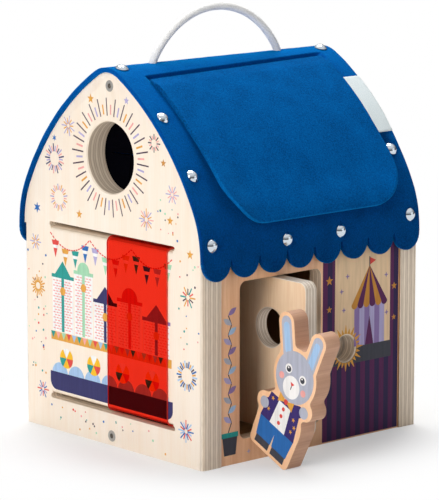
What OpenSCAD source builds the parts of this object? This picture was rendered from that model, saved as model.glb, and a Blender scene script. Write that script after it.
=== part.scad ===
// Wooden activity house for small children, in millimetres.
// +Z is up, X runs along the ridge, the doorway faces -Y and the window faces -X.
// The origin is the middle of the floor board's underside.

/* [House] */
// Width over the two gables, along the ridge
house_w = 180; // [160:1:220]
// Depth of the gables, from front to back
house_d = 170; // [150:1:200]
// Thickness of the plywood gables
gable_t = 15; // [12:0.5:18]
// Thickness of the front and back walls
wall_t = 10; // [8:0.5:12]
// How far the walls stand back from the gable edges
wall_recess = 1; // [1:0.5:3]
// How far the walls reach above the eaves
wall_rise = 8; // [4:0.5:8]
// Thickness of the floor board
floor_t = 12; // [10:0.5:14]
// Radius of the gables' upright outer edges
edge_r = 2.5; // [1:0.5:4]

/* [Gable arch] */
// Height where the straight sides end and the arch starts
eave_z = 129; // [124:1:140]
// Radius of the shoulder of the arch
shoulder_r = 58.5; // [50:0.5:66]
// Angle that the shoulder turns through
shoulder_angle = 26; // [22:1:32]
// Radius of the long slope of the arch
slope_r = 175; // [160:1:195]
// Radius of the rounded ridge
crown_r = 20; // [14:0.5:24]

/* [Felt roof] */
// Thickness of the felt
felt_t = 3; // [2:0.5:4]
// How far the felt is wider than the house, on each side
felt_overhang = 0.5; // [0.5:0.1:4]
// How far the felt and its studs lie off the middle, along the ridge
felt_shift = -1.8; // [-2:0.1:2]
// How far the scalloped hem hangs below the eaves
hem_drop = 14.5; // [12:0.5:19]
// Number of scallops along each hem
scallop_count = 8; // [6:1:10]
// Radius of a scallop beyond half its width
scallop_ease = 0.3; // [0.1:0.1:1.5]
// Depth of the notches between the scallops
notch_depth = 12.5; // [10:0.5:14]
// Width of the slit that ends each notch
notch_w = 0.8; // [0.6:0.1:1.5]
// Width of the hand opening under the flap
hatch_w = 110; // [80:1:120]
// Height of the hand opening's lower edge over the eaves
hatch_rise = 31; // [27:1:39]
// Depth of the hand opening's upper edge under the ridge
hatch_drop = 19.6; // [18:0.2:30]
// Corner radius of the hand opening
hatch_r = 14; // [6:1:20]

/* [Flap] */
// How far the flap's edges lie from the gable faces
flap_inset = 17; // [15:0.5:20]
// Height of the flap's lower edge over the eaves
flap_rise = 16.5; // [13:0.5:20]
// Radius of the flap's lower corners
flap_r = 27; // [15:1:40]
// Angle of the sewn seam on the slope
seam_angle = 57.5; // [54:0.5:58]
// Width of the pressed groove beside the seam
groove_w = 3.6; // [1:0.2:4]
// Depth of the pressed groove
groove_depth = 1.6; // [0.8:0.2:1.8]
// How far the woven label stands out of the flap's edge
label_w = 12; // [8:0.5:13]
// Thickness of the woven label
label_t = 0.7; // [0.5:0.1:0.8]
// Angle of the label's upper end on the slope
label_angle_top = 51; // [49:0.5:53]
// Angle of the label's lower end on the slope
label_angle_bottom = 37; // [36:0.5:42]

/* [Window] */
// Diameter of the round window
window_d = 44; // [36:1:46]
// Depth of the window's centre under the ridge
window_drop = 52.1; // [51.6:0.1:56]
// Diameter of the curtain behind the window
curtain_d = 54; // [52:1:54]
// Thickness of the curtain
curtain_t = 1.5; // [1:0.5:2.5]
// Width of the crossed slits in the curtain
slit_w = 0.8; // [0.4:0.1:1.2]
// Length of the crossed slits
slit_len = 36; // [20:1:42]

/* [Colour filter] */
// Height of the top slot's upper edge over the eaves
slot_rise = 4; // [0:0.5:6]
// Height of the lower edge of the bottom slot
slot_bottom_z = 20; // [16:0.5:24]
// Length of the slots
slot_w = 120; // [100:1:130]
// Height of the slots
slot_h = 3; // [2.5:0.5:5]
// Radius of the rounded lips that the filter bends over
lip_r = 3; // [2:0.5:7]
// Width of the filter sheet
filter_w = 56; // [40:1:70]
// Thickness of the filter sheet
filter_t = 1; // [0.6:0.1:1.4]
// Middle of the filter across the gable
filter_y = -26; // [-28:1:-20]
// Length of the turned ends behind the gable
filter_end = 8; // [5:0.5:12]

/* [Doorway] */
// Width of the wall between the doorway and the left gable
jamb_w = 15.5; // [14:0.5:18]
// Width of the doorway
doorway_w = 67; // [60:1:70]
// Height of the sill
sill_z = 14.3; // [14:0.1:18]
// Gap between the hem and the top of the doorway
lintel_gap = 3.2; // [2:0.1:8]
// Corner radius of the doorway
doorway_r = 5; // [2:0.5:8]
// How far each face of the shut door lies inside the wall's face
door_inset = 0.3; // [0.2:0.1:1]
// Gap between each door edge and its jamb
door_side_gap = 1.5; // [1.2:0.1:3]
// Gap above and below the door
door_end_gap = 1; // [0.9:0.1:2]
// Corner radius of the door
door_r = 5.5; // [3:0.5:8]
// Diameter of the round hole through the door
door_hole_d = 23; // [20:1:28]
// Radius that rounds the mouths of the hole
door_hole_round = 2.1; // [1:0.1:3]
// Height of the hole's centre
door_hole_z = 78.6; // [60:0.2:80]

/* [Peep hole] */
// Distance of the peep hole's middle from the doorway
peep_off = 21.3; // [18:0.1:28]
// Height of the peep hole
peep_z = 57.8; // [40:0.2:80]
// Diameter of the peep hole
peep_d = 16.5; // [12:0.5:20]
// Diameter of the mirror behind it
mirror_d = 24; // [22:1:30]
// Thickness of the mirror
mirror_t = 2; // [1:0.5:3]

/* [Ridge and handle] */
// Width of the ridge beam
beam_w = 26; // [20:1:32]
// Height of the ridge beam
beam_h = 23.6; // [18:0.2:24]
// Diameter of the rope
rope_d = 5; // [4:0.5:5]
// Middle of the handle along the ridge
rope_x = -4; // [-4:0.5:4]
// Mean distance of the rope holes from the gables
rope_inset = 23; // [23:0.5:40]
// Height of the handle over the roof
rope_rise = 31.3; // [25:0.1:45]
// Angle of its ellipse at which the handle meets the roof
rope_end = 30; // [0:1:40]
// Radius of the knots under the beam
knot_r = 6.5; // [5.5:0.5:7]
// Depth of a knot's centre under the beam
knot_drop = 4.4; // [3:0.2:5]

/* [Fixings] */
// Diameter of the domed studs
stud_d = 8; // [6:0.5:9]
// Height of the domes
stud_h = 2.2; // [1.5:0.1:2.2]
// Diameter of the stud shanks
stud_shank_d = 1.6; // [1.2:0.1:2]
// Length of the stud shanks under the head
stud_shank = 8.5; // [6:0.5:8.5]
// How far the eave studs stand from the middle of the felt
eave_stud_x = 22.3; // [15:0.1:30]
// Angle of the eave studs on the arch
eave_stud_angle = 4; // [2:0.5:6]
// Angles of the studs along each gable edge
stud_angles = [7, 33.5, 47]; // [0:0.5:60]
// Angle of the studs at the ridge, on the front slope
ridge_stud_angle = 77; // [72:1:84]
// Depth of the upper gable bolts under the ridge
bolt_drop = 8.3; // [8.2:0.1:14]
// Diameter of the bolt heads
bolt_head_d = 7; // [6:0.5:8]
// Height of the bolt heads
bolt_head_h = 3; // [2:0.5:4]
// Diameter of the bolt shanks
bolt_d = 4; // [3:0.5:5]
// How far the bolts reach past the gables
bolt_reach = 14; // [12:0.5:14]
// Width across the flats of the bolt sockets
bolt_socket = 3; // [2:0.5:3.5]
// Diameter of the wooden dowels
dowel_d = 6; // [5:0.5:7]
// Length of the wooden dowels
dowel_len = 20; // [16:1:22]
// Heights of the dowels in the walls
dowel_z = [38, 118]; // [20:1:140]
// Diameter of the door pins
pin_d = 4; // [3:0.5:5]
// Depth of each door pin in the wall and in the door
pin_depth = 9.5; // [8:0.5:10]
// Diameter of the washer under the door
washer_d = 9; // [7:0.5:9.2]
// Thickness of the washer under the door
washer_t = 0.7; // [0.4:0.1:0.7]
// Diameter of the curtain tacks
tack_d = 3.6; // [3:0.2:4]

/* [Rabbit figure] */
// Thickness of the figure
figure_t = 11.5; // [9:0.5:13]
// Width of the figure's base
figure_base_w = 36; // [30:1:40]
// Lean of the figure away from the house
figure_lean = 25; // [20:0.5:25]
// Gap between the figure and the open door
figure_door_gap = 8.6; // [4:0.2:12]
// Radius of the base corners
foot_r = 4; // [2:0.5:6]
// Radius of the body
body_r = 19; // [15:0.5:20]
// Height of the body's centre over the base
body_z = 25; // [22:1:30]
// Radius of the arms
arm_r = 6; // [4:0.5:7]
// Length of the arms
arm_len = 18; // [12:1:24]
// Height of the shoulders over the base
arm_z = 36; // [32:1:40]
// Radius of the head
head_r = 18.5; // [14:0.5:20]
// Height of the head's centre over the base
head_z = 57; // [54:1:60]
// Length of the ears
ear_len = 24; // [16:1:30]
// Radius of the ears
ear_r = 6.5; // [4:0.5:7]
// How far each ear starts from the middle of the head
ear_off = 8.3; // [7:0.1:10]
// Lean of the ear on the house's side
ear_lean = 30; // [10:1:35]
// Lean of the ear away from the house
ear_stand = 0; // [0:1:15]
// Radius that fills the inner corners of the outline
figure_fillet = 3; // [1:0.5:5]

/* [Fits] */
// Gap between the felt and the edge that it is nailed to
felt_gap = 0.1; // [0.05:0.05:0.3]
// Gap between the flap and the roof felt
flap_gap = 0.3; // [0.2:0.1:0.6]
// Gap between the filter and the gable
filter_gap = 0.4; // [0.3:0.1:0.6]
// Radial gap of shanks, bolts and dowels in their holes
fixing_gap = 0.05; // [0.02:0.01:0.1]
// Radial gap of the door pins in the door
pin_gap = 0.05; // [0.02:0.01:0.1]
// Gap between the rope and its holes
rope_gap = 0.3; // [0.2:0.1:0.6]
// Gap between the figure's base and the front wall
figure_wall_gap = 0.4; // [0.3:0.1:1]
// Size of the chamfers on the edges of round holes
edge_chamfer = 0.8; // [0.4:0.1:1.2]

/* [Hidden] */
$fn = 64;
// Overlap of cutting shapes past the faces that they cut
cut = 1;

inner_x = house_w / 2 - gable_t;
half_d = house_d / 2;
wall_face = half_d - wall_recess;
wall_mid = wall_face - wall_t / 2;
wall_top_z = eave_z + wall_rise;
felt_w = house_w + 2 * felt_overhang;
felt_x0 = felt_shift - felt_w / 2;
felt_out = felt_gap + felt_t;
hem_z = eave_z - hem_drop;
flap_w = house_w - 2 * flap_inset;
flap_z = eave_z + flap_rise;
flap_in = felt_out + flap_gap;
flap_out = flap_in + felt_t;
scallop_pitch = felt_w / scallop_count;
scallop_r = scallop_pitch / 2 + scallop_ease;
slot_top_z = eave_z + slot_rise;
lintel_z = hem_z - lintel_gap;
door_x = -inner_x + jamb_w + doorway_w / 2;
door_t = wall_t - 2 * door_inset;
door_h = lintel_z - sill_z - 2 * door_end_gap;
door_w = doorway_w - 2 * door_side_gap;
peep_x = door_x + doorway_w / 2 + peep_off;
stud_x = inner_x + gable_t / 2;
bolt_len = gable_t - bolt_head_h + bolt_reach;
bolt_bottom_z = floor_t / 2;
// How far the figure's base corners lie from its middle
foot_u = figure_base_w / 2 - foot_r;
// Height of the raised corner's centre, and how far it lies in front of the wall
foot_rise = foot_r + 2 * foot_u * sin(figure_lean);
over_sill = max(0, foot_rise - sill_z);
foot_reach = sqrt(max(0, pow(foot_r + figure_wall_gap, 2) - pow(over_sill, 2)));
figure_y = -wall_face - foot_reach - foot_u * cos(figure_lean) + foot_r * sin(figure_lean);
figure_z = foot_r + foot_u * sin(figure_lean) - foot_r * cos(figure_lean);

// Centres of the arcs that make the arch, as depth and height
function toward(a) = [cos(a), sin(a)];
shoulder_c = [half_d - shoulder_r, eave_z];
slope_c = shoulder_c - (slope_r - shoulder_r) * toward(shoulder_angle);
crown_c = [0, slope_c.y + sqrt(pow(slope_r - crown_r, 2) - pow(slope_c.x, 2))];
crown_angle = atan2(crown_c.y - slope_c.y, -slope_c.x);

// Heights that hang from the ridge
ridge_z = crown_c.y + crown_r;
roof_top_z = ridge_z + felt_out;
beam_z = ridge_z - beam_h;
bolt_top_z = ridge_z - bolt_drop;
window_z = ridge_z - window_drop;
hatch_z0 = eave_z + hatch_rise;
hatch_z1 = ridge_z - hatch_drop;

// Point of the arch, as depth and height, where its outward normal has angle a
function arch_point(a, out) =
    a <= shoulder_angle ? shoulder_c + (shoulder_r + out) * toward(a) :
    a <= crown_angle ? slope_c + (slope_r + out) * toward(a) :
    crown_c + (crown_r + out) * toward(a);

// Normal angles at which the arch is drawn, with more steps where it turns fast
arch_steps = [10, 16, 5];
arch_bounds = [0, shoulder_angle, crown_angle, 90];
arch_angles = concat(
    [for (k = [0:2], i = [0:arch_steps[k] - 1])
        arch_bounds[k] + (arch_bounds[k + 1] - arch_bounds[k]) * i / arch_steps[k]],
    [90]
);

// Points of the arch from one normal angle up to another
function arch_run(out, a0, a1) = concat(
    [arch_point(a0, out)],
    [for (a = arch_angles) if (a > a0 && a < a1) arch_point(a, out)],
    [arch_point(a1, out)]
);

// The same points in the other order
function backward(points) = [for (i = [len(points) - 1:-1:0]) points[i]];

// The handle's route, up through the ridge, over in part of an ellipse and down again
rope_half = inner_x - rope_inset;
rope_steps = 24;
rope_arch = [
    for (i = [0:rope_steps])
        let (a = 180 - rope_end - (180 - 2 * rope_end) * i / rope_steps)
        [
            rope_half * cos(a) / cos(rope_end),
            roof_top_z + rope_rise * (sin(a) - sin(rope_end)) / (1 - sin(rope_end))
        ]
];
rope_route = [
    for (p = concat([[-rope_half, beam_z]], rope_arch, [[rope_half, beam_z]]))
        [rope_x + p.x, 0, p.y]
];
rope_sides = 10;

// Steps in each quarter turn that is drawn by formula
bend_steps = 10;

// Extrudes a depth and height outline along the ridge from x0 to x1
module along_x(x0, x1) {
    translate([x0, 0, 0])
        rotate([90, 0, 90])
            linear_extrude(x1 - x0)
                children();
}

// Extrudes a width and height outline through the depth from y0 to y1
module along_y(y0, y1) {
    translate([0, y1, 0])
        rotate([90, 0, 0])
            linear_extrude(y1 - y0)
                children();
}

// Outline of the gable grown outward, with its foot at the given height
module arch(out, foot) {
    half = concat([[half_d + out, foot]], arch_run(out, 0, 90));
    polygon(concat(half, [for (p = backward(half)) if (p.x > 0) [-p.x, p.y]]));
}

// Curved sheet that follows the arch between two distances from it
module arch_sheet(inner, outer, foot) {
    difference() {
        arch(outer, foot);
        arch(inner, foot - cut);
    }
}

// Rectangle with round corners, centred sideways, standing on the given height
module rounded_rect(w, z0, z1, r) {
    if (z1 - z0 > 2 * r)
        translate([-w / 2, z0 + r])
            square([w, z1 - z0 - 2 * r]);
    translate([-w / 2 + r, z0])
        square([w - 2 * r, z1 - z0]);
    for (x = [-1, 1], z = [z0 + r, z1 - r])
        translate([x * (w / 2 - r), z])
            circle(r);
}

// Straight hole along Z with chamfered mouths at both ends
module chamfered_hole(d, depth) {
    translate([0, 0, -cut])
        cylinder(d = d, h = depth + 2 * cut);
    cylinder(d1 = d + 2 * edge_chamfer, d2 = d, h = edge_chamfer);
    translate([0, 0, depth - edge_chamfer])
        cylinder(d1 = d, d2 = d + 2 * edge_chamfer, h = edge_chamfer);
}

// Straight hole along Z with rounded mouths at both ends
module rounded_hole(d, depth, r) {
    mouth_x = d / 2 + r;
    rotate_extrude()
        polygon(concat(
            [[0, -cut], [mouth_x, -cut]],
            quarter([mouth_x, r], r, 270),
            quarter([mouth_x, depth - r], r, 180),
            [[mouth_x, depth + cut], [0, depth + cut]]
        ));
}

// Puts its children on the felt at an angle of the arch, facing outward
module on_arch(x, side, a) {
    p = arch_point(a, felt_out);
    translate([x, side * p.x, p.y])
        rotate([-side * (90 - a), 0, 0])
            children();
}

// Puts its children at every stud along the edge of the left (-1) or right (1) gable
module at_gable_studs(end) {
    x = felt_shift + end * stud_x;
    for (side = [-1, 1], a = stud_angles)
        on_arch(x, side, a)
            children();
    on_arch(x, -1, ridge_stud_angle)
        children();
}

// Puts its children at the studs of the front (-1) or back (1) eave
module at_eave_studs(side) {
    for (x = [-eave_stud_x, eave_stud_x])
        on_arch(felt_shift + x, side, eave_stud_angle)
            children();
}

// Domed nail with its shank pointing down
module stud(d, h, shank_d, shank) {
    ball_r = (d * d / 4 + h * h) / (2 * h);
    rotate_extrude()
        intersection() {
            translate([0, h - ball_r])
                circle(ball_r);
            square([d, h]);
        }
    translate([0, 0, -shank])
        cylinder(d = shank_d, h = shank);
}

module felt_stud() {
    stud(stud_d, stud_h, stud_shank_d, stud_shank);
}

module stud_hole() {
    translate([0, 0, -stud_shank - fixing_gap])
        cylinder(d = stud_shank_d + 2 * fixing_gap, h = stud_shank + fixing_gap + cut);
}

// Puts its children at the two bolts of the left (-1) or right (1) gable, pointing inward
module at_bolts(side) {
    for (z = [bolt_bottom_z, bolt_top_z])
        translate([side * house_w / 2, 0, z])
            rotate([0, -side * 90, 0])
                children();
}

// Socket-head bolt, its head flush with the gable
module bolt() {
    socket_depth = 0.6 * bolt_head_h;
    difference() {
        union() {
            cylinder(d = bolt_head_d, h = bolt_head_h);
            cylinder(d = bolt_d, h = bolt_head_h + bolt_len);
        }
        translate([0, 0, -cut])
            cylinder(d = bolt_socket / cos(30), h = socket_depth + cut, $fn = 6);
    }
}

module bolt_hole() {
    translate([0, 0, -cut])
        cylinder(d = bolt_head_d + 2 * fixing_gap, h = bolt_head_h + cut);
    cylinder(d = bolt_d + 2 * fixing_gap, h = bolt_head_h + bolt_len + cut);
}

// Puts its children at the dowels of the front (-1) or back (1) wall, along the ridge
module at_dowels(side) {
    for (x = [-inner_x, inner_x], z = dowel_z)
        translate([x, side * wall_mid, z])
            rotate([0, 90, 0])
                children();
}

module dowel() {
    cylinder(d = dowel_d, h = dowel_len, center = true);
}

module dowel_hole() {
    cylinder(d = dowel_d + 2 * fixing_gap, h = dowel_len + 2 * fixing_gap, center = true);
}

// Puts its children at the two vertical rope holes
module at_rope_holes() {
    for (side = [-1, 1])
        translate([rope_x + side * rope_half, 0, beam_z])
            children();
}

module rope_hole() {
    translate([0, 0, -cut])
        cylinder(d = rope_d + 2 * rope_gap, h = roof_top_z - beam_z + 2 * cut);
}

// What is taken off one upright outer edge of a gable to round it
module edge_cut(side, end) {
    translate([side * house_w / 2, end * half_d, -cut])
        linear_extrude(eave_z + cut)
            difference() {
                translate([side, end] * (cut - edge_r) / 2)
                    square(edge_r + cut, center = true);
                translate([-side, -end] * edge_r)
                    circle(edge_r);
            }
}

// Plain gable with its fixing holes
module gable_board(side) {
    x0 = min(side * inner_x, side * house_w / 2);
    difference() {
        along_x(x0, x0 + gable_t)
            arch(0, 0);
        for (end = [-1, 1])
            edge_cut(side, end);
        at_bolts(side)
            bolt_hole();
        at_gable_studs(side)
            stud_hole();
        at_dowels(-1)
            dowel_hole();
        at_dowels(1)
            dowel_hole();
    }
}

// The corner that is taken off the gable's face to round a lip of the filter panel
module lip_cut() {
    length = slot_w - slot_h;
    translate([-house_w / 2, -length / 2, 0])
        difference() {
            translate([-cut, 0, 0])
                cube([lip_r + cut, length, lip_r + cut]);
            translate([lip_r, -cut, 0])
                rotate([-90, 0, 0])
                    cylinder(r = lip_r, h = length + 2 * cut);
        }
}

module gable_left() {
    panel_top = slot_top_z - slot_h;
    panel_bottom = slot_bottom_z + slot_h;
    color("wheat")
        difference() {
            gable_board(-1);
            translate([-house_w / 2, 0, window_z])
                rotate([0, 90, 0])
                    chamfered_hole(window_d, gable_t);
            along_x(-house_w / 2 - cut, -inner_x + cut)
                rounded_rect(slot_w, panel_top, slot_top_z, slot_h / 2);
            along_x(-house_w / 2 - cut, -inner_x + cut)
                rounded_rect(slot_w, slot_bottom_z, panel_bottom, slot_h / 2);
            translate([0, 0, panel_top - lip_r])
                lip_cut();
            translate([0, 0, panel_bottom + lip_r])
                mirror([0, 0, 1])
                    lip_cut();
        }
}

module gable_right() {
    color("wheat")
        gable_board(1);
}

module front_wall() {
    color("burlywood")
        difference() {
            translate([-inner_x, -wall_face, 0])
                cube([2 * inner_x, wall_t, wall_top_z]);
            along_y(-wall_face - cut, -wall_face + wall_t + cut)
                translate([door_x, 0])
                    rounded_rect(doorway_w, sill_z, lintel_z, doorway_r);
            translate([peep_x, -wall_face, peep_z])
                rotate([-90, 0, 0])
                    chamfered_hole(peep_d, wall_t);
            for (z = [sill_z - pin_depth, lintel_z])
                translate([door_x, -wall_mid, z])
                    cylinder(d = pin_d + 2 * pin_gap, h = pin_depth);
            at_dowels(-1)
                dowel_hole();
            at_eave_studs(-1)
                stud_hole();
        }
}

module back_wall() {
    color("burlywood")
        difference() {
            translate([-inner_x, wall_face - wall_t, 0])
                cube([2 * inner_x, wall_t, wall_top_z]);
            at_dowels(1)
                dowel_hole();
            at_eave_studs(1)
                stud_hole();
        }
}

module floor_board() {
    floor_d = 2 * (wall_face - wall_t);
    color("burlywood")
        difference() {
            translate([-inner_x, -floor_d / 2, 0])
                cube([2 * inner_x, floor_d, floor_t]);
            at_bolts(-1)
                bolt_hole();
            at_bolts(1)
                bolt_hole();
        }
}

module ridge_beam() {
    color("burlywood")
        difference() {
            along_x(-inner_x, inner_x)
                intersection() {
                    arch(-felt_gap, 0);
                    translate([-beam_w / 2, beam_z])
                        square([beam_w, beam_h]);
                }
            at_bolts(-1)
                bolt_hole();
            at_bolts(1)
                bolt_hole();
            at_rope_holes()
                rope_hole();
        }
}

// What is cut away below the hem to leave the scallops and the slits between them
module scallop_cut() {
    scallop_z = hem_z + scallop_r;
    difference() {
        translate([felt_x0 - cut, hem_z - cut])
            square([felt_w + 2 * cut, scallop_r + cut]);
        for (i = [0:scallop_count - 1])
            translate([felt_x0 + (i + 0.5) * scallop_pitch, scallop_z])
                circle(scallop_r);
    }
    for (i = [1:scallop_count - 1])
        translate([felt_x0 + i * scallop_pitch - notch_w / 2, hem_z])
            square([notch_w, notch_depth]);
}

// Groove pressed into the felt just above the flap's seam, on the front slope
module seam_groove() {
    shift = (felt_t + groove_w) / 2;
    mirror([1, 0])
        translate(arch_point(seam_angle, felt_out))
            rotate(seam_angle)
                translate([-groove_depth, shift - groove_w / 2])
                    square([groove_depth + cut, groove_w]);
}

module roof_felt() {
    color("royalblue")
        difference() {
            along_x(felt_x0, felt_x0 + felt_w)
                arch_sheet(felt_gap, felt_out, hem_z);
            along_y(-half_d - felt_out - cut, half_d + felt_out + cut)
                scallop_cut();
            along_y(-half_d - felt_out - cut, 0)
                rounded_rect(hatch_w, hatch_z0, hatch_z1, hatch_r);
            along_x(-flap_w / 2, flap_w / 2)
                seam_groove();
            for (side = [-1, 1]) {
                at_gable_studs(side)
                    stud_hole();
                at_eave_studs(side)
                    stud_hole();
            }
            at_rope_holes()
                rope_hole();
        }
}

// Section of the flap on the front slope, its sewn edge rounded about the seam
module flap_section() {
    seam = arch_point(seam_angle, flap_in + felt_t / 2);
    foot_angle = function (out) asin((flap_rise - cut) / (shoulder_r + out));
    edge_steps = 6;
    mirror([1, 0])
        polygon(concat(
            arch_run(flap_out, foot_angle(flap_out), seam_angle),
            [for (i = [1:edge_steps - 1]) seam + felt_t / 2 * toward(seam_angle + 180 * i / edge_steps)],
            backward(arch_run(flap_in, foot_angle(flap_in), seam_angle))
        ));
}

module roof_flap() {
    color("royalblue")
        intersection() {
            along_x(-flap_w / 2, flap_w / 2)
                flap_section();
            along_y(-half_d - flap_out - cut, 0)
                rounded_rect(flap_w + 2 * cut, flap_z, roof_top_z + 2 * flap_r, flap_r + cut);
        }
}

module flap_label() {
    color("white")
        along_x(flap_w / 2, flap_w / 2 + label_w)
            mirror([1, 0])
                polygon(concat(
                    arch_run(flap_out, label_angle_bottom, label_angle_top),
                    backward(arch_run(flap_out - label_t, label_angle_bottom, label_angle_top))
                ));
}

module window_curtain() {
    color("black")
        difference() {
            translate([-inner_x, 0, window_z])
                rotate([0, 90, 0])
                    cylinder(d = curtain_d, h = curtain_t);
            along_x(-inner_x - cut, -inner_x + curtain_t + cut)
                translate([0, window_z]) {
                    square([slit_w, slit_len], center = true);
                    square([slit_len, slit_w], center = true);
                }
            at_tacks()
                tack_hole();
        }
}

// Puts its children round the curtain's rim, facing into the house
module at_tacks() {
    rim_r = (window_d + curtain_d) / 4 + edge_chamfer / 4;
    for (a = [45:90:315])
        translate([-inner_x + curtain_t, rim_r * cos(a), window_z + rim_r * sin(a)])
            rotate([0, 90, 0])
                children();
}

module tack_hole() {
    translate([0, 0, -curtain_t - cut])
        cylinder(d = stud_shank_d + 2 * fixing_gap, h = curtain_t + 2 * cut);
}

module curtain_tacks() {
    color("silver")
        at_tacks()
            stud(tack_d, stud_h / 2, stud_shank_d, curtain_t);
}

module peep_mirror() {
    color("lightgrey")
        translate([peep_x, -wall_face + wall_t, peep_z])
            rotate([-90, 0, 0])
                cylinder(d = mirror_d, h = mirror_t);
}

module gable_studs_left() {
    color("silver")
        at_gable_studs(-1)
            felt_stud();
}

module gable_studs_right() {
    color("silver")
        at_gable_studs(1)
            felt_stud();
}

module eave_studs_front() {
    color("silver")
        at_eave_studs(-1)
            felt_stud();
}

module eave_studs_back() {
    color("silver")
        at_eave_studs(1)
            felt_stud();
}

module bolts_left() {
    color("silver")
        at_bolts(-1)
            bolt();
}

module bolts_right() {
    color("silver")
        at_bolts(1)
            bolt();
}

module wall_dowels_front() {
    color("tan")
        at_dowels(-1)
            dowel();
}

module wall_dowels_back() {
    color("tan")
        at_dowels(1)
            dowel();
}

// The door is drawn as it stands open, square to the front wall
module turning_door() {
    door_z0 = sill_z + door_end_gap;
    color("burlywood")
        difference() {
            translate([door_x, -wall_mid, 0])
                along_x(-door_t / 2, door_t / 2)
                    rounded_rect(door_w, door_z0, door_z0 + door_h, door_r);
            translate([door_x - door_t / 2, -wall_mid, door_hole_z])
                rotate([0, 90, 0])
                    rounded_hole(door_hole_d, door_t, door_hole_round);
            for (z = [door_z0 - cut, door_z0 + door_h - pin_depth])
                translate([door_x, -wall_mid, z])
                    cylinder(d = pin_d + 2 * pin_gap, h = pin_depth + cut);
        }
}

// Steel pin across the gap between the door and the wall
module door_pin(z) {
    color("silver")
        translate([door_x, -wall_mid, z])
            cylinder(d = pin_d, h = 2 * pin_depth + door_end_gap - 2 * pin_gap);
}

module door_pin_top() {
    door_pin(lintel_z - door_end_gap - pin_depth + pin_gap);
}

module door_pin_bottom() {
    door_pin(sill_z - pin_depth + pin_gap);
}

module door_washer() {
    color("ivory")
        translate([door_x, -wall_mid, sill_z])
            difference() {
                cylinder(d = washer_d, h = washer_t);
                translate([0, 0, -cut])
                    cylinder(d = pin_d + 2 * pin_gap, h = washer_t + 2 * cut);
            }
}

// Points of a quarter turn about a centre, from an angle downward
function quarter(centre, r, a) = [
    for (i = [0:bend_steps])
        centre + r * toward(a - 90 * i / bend_steps)
];

// Line at a distance from the gable's panel, from its face over the lip and down behind it
function filter_line(gap, panel_top) = concat(
    quarter([lip_r - house_w / 2, panel_top - lip_r], lip_r + gap, 180),
    quarter([-inner_x, panel_top], gap, 90),
    [[-inner_x + gap, panel_top - filter_end]]
);

module red_filter() {
    panel_top = slot_top_z - slot_h;
    panel_bottom = slot_bottom_z + slot_h;
    inner_line = filter_line(filter_gap, panel_top);
    outer_line = filter_line(filter_gap + filter_t, panel_top);
    upper = concat(outer_line, backward(inner_line));
    lower = [for (p = backward(upper)) [p.x, panel_top + panel_bottom - p.y]];
    color("red", 0.6)
        along_y(filter_y - filter_w / 2, filter_y + filter_w / 2)
            polygon(concat(upper, lower));
}

// Tube along a route that lies in a plane of constant depth
module route_tube(route, d, sides) {
    last = len(route) - 1;
    ahead = function (i) route[min(i + 1, last)] - route[max(i - 1, 0)];
    ring = function (i)
        let (along = ahead(i) / norm(ahead(i)), across = cross(along, [0, 1, 0]))
        [for (k = [0:sides - 1])
            route[i] + d / 2 * (cos(360 * k / sides) * across + sin(360 * k / sides) * [0, 1, 0])];
    polyhedron(
        points = [for (i = [0:last]) each ring(i)],
        faces = concat(
            [[for (k = [0:sides - 1]) k]],
            [for (i = [0:last - 1], k = [0:sides - 1])
                let (a = i * sides + k, b = i * sides + (k + 1) % sides)
                each [[a, a + sides, b], [b, a + sides, b + sides]]],
            [[for (k = [sides - 1:-1:0]) last * sides + k]]
        )
    );
}

module rope_handle() {
    color("white")
        route_tube(rope_route, rope_d, rope_sides);
}

// Knot that bears on the beam's underside
module rope_knot(side) {
    color("white")
        intersection() {
            translate([rope_x + side * rope_half, 0, beam_z - knot_drop])
                sphere(knot_r);
            translate([rope_x + side * rope_half, 0, beam_z - 4 * knot_r])
                cylinder(r = 2 * knot_r, h = 4 * knot_r);
        }
}

module rope_knot_left() {
    rope_knot(-1);
}

module rope_knot_right() {
    rope_knot(1);
}

// Round-ended limb that starts at a point and leans over by an angle
module limb(start, lean, r, length) {
    translate(start)
        rotate(lean)
            hull() {
                circle(r);
                translate([0, length])
                    circle(r);
            }
}

// Outline of the standing rabbit, its base on zero, with the house on the right
module figure_outline() {
    low_arm = 112;
    high_arm = 66;
    ear_z = head_z + head_r - 2 * ear_r;
    hull() {
        for (u = [-foot_u, foot_u])
            translate([u, foot_r])
                circle(foot_r);
        translate([0, body_z])
            circle(body_r);
    }
    translate([0, head_z])
        circle(head_r);
    limb([0, arm_z], high_arm, arm_r, arm_len);
    limb([0, arm_z], -low_arm, arm_r, arm_len);
    limb([-ear_off, ear_z], ear_stand, ear_r, ear_len);
    limb([ear_off, ear_z], -ear_lean, ear_r, ear_len);
}

module rabbit_figure() {
    x1 = door_x - door_t / 2 - figure_door_gap;
    color("tan")
        translate([0, figure_y, figure_z])
            rotate([figure_lean, 0, 0])
                along_x(x1 - figure_t, x1)
                    offset(r = -figure_fillet)
                        offset(r = figure_fillet)
                            figure_outline();
}

gable_left();
gable_right();
front_wall();
back_wall();
floor_board();
ridge_beam();
roof_felt();
roof_flap();
flap_label();
window_curtain();
curtain_tacks();
peep_mirror();
gable_studs_left();
gable_studs_right();
eave_studs_front();
eave_studs_back();
bolts_left();
bolts_right();
wall_dowels_front();
wall_dowels_back();
turning_door();
door_pin_top();
door_pin_bottom();
door_washer();
red_filter();
rope_handle();
rope_knot_left();
rope_knot_right();
rabbit_figure();
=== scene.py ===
# %% [markdown]
# # A wooden activity house, dressed in Blender
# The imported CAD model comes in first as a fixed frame, and every look is built round it.
# All Blender lengths are metres, so sizes that are easier to think of in millimetres are
# multiplied by MM.

# %% Load the frame
import math
import random

import bmesh
import bpy
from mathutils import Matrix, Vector, noise


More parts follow.
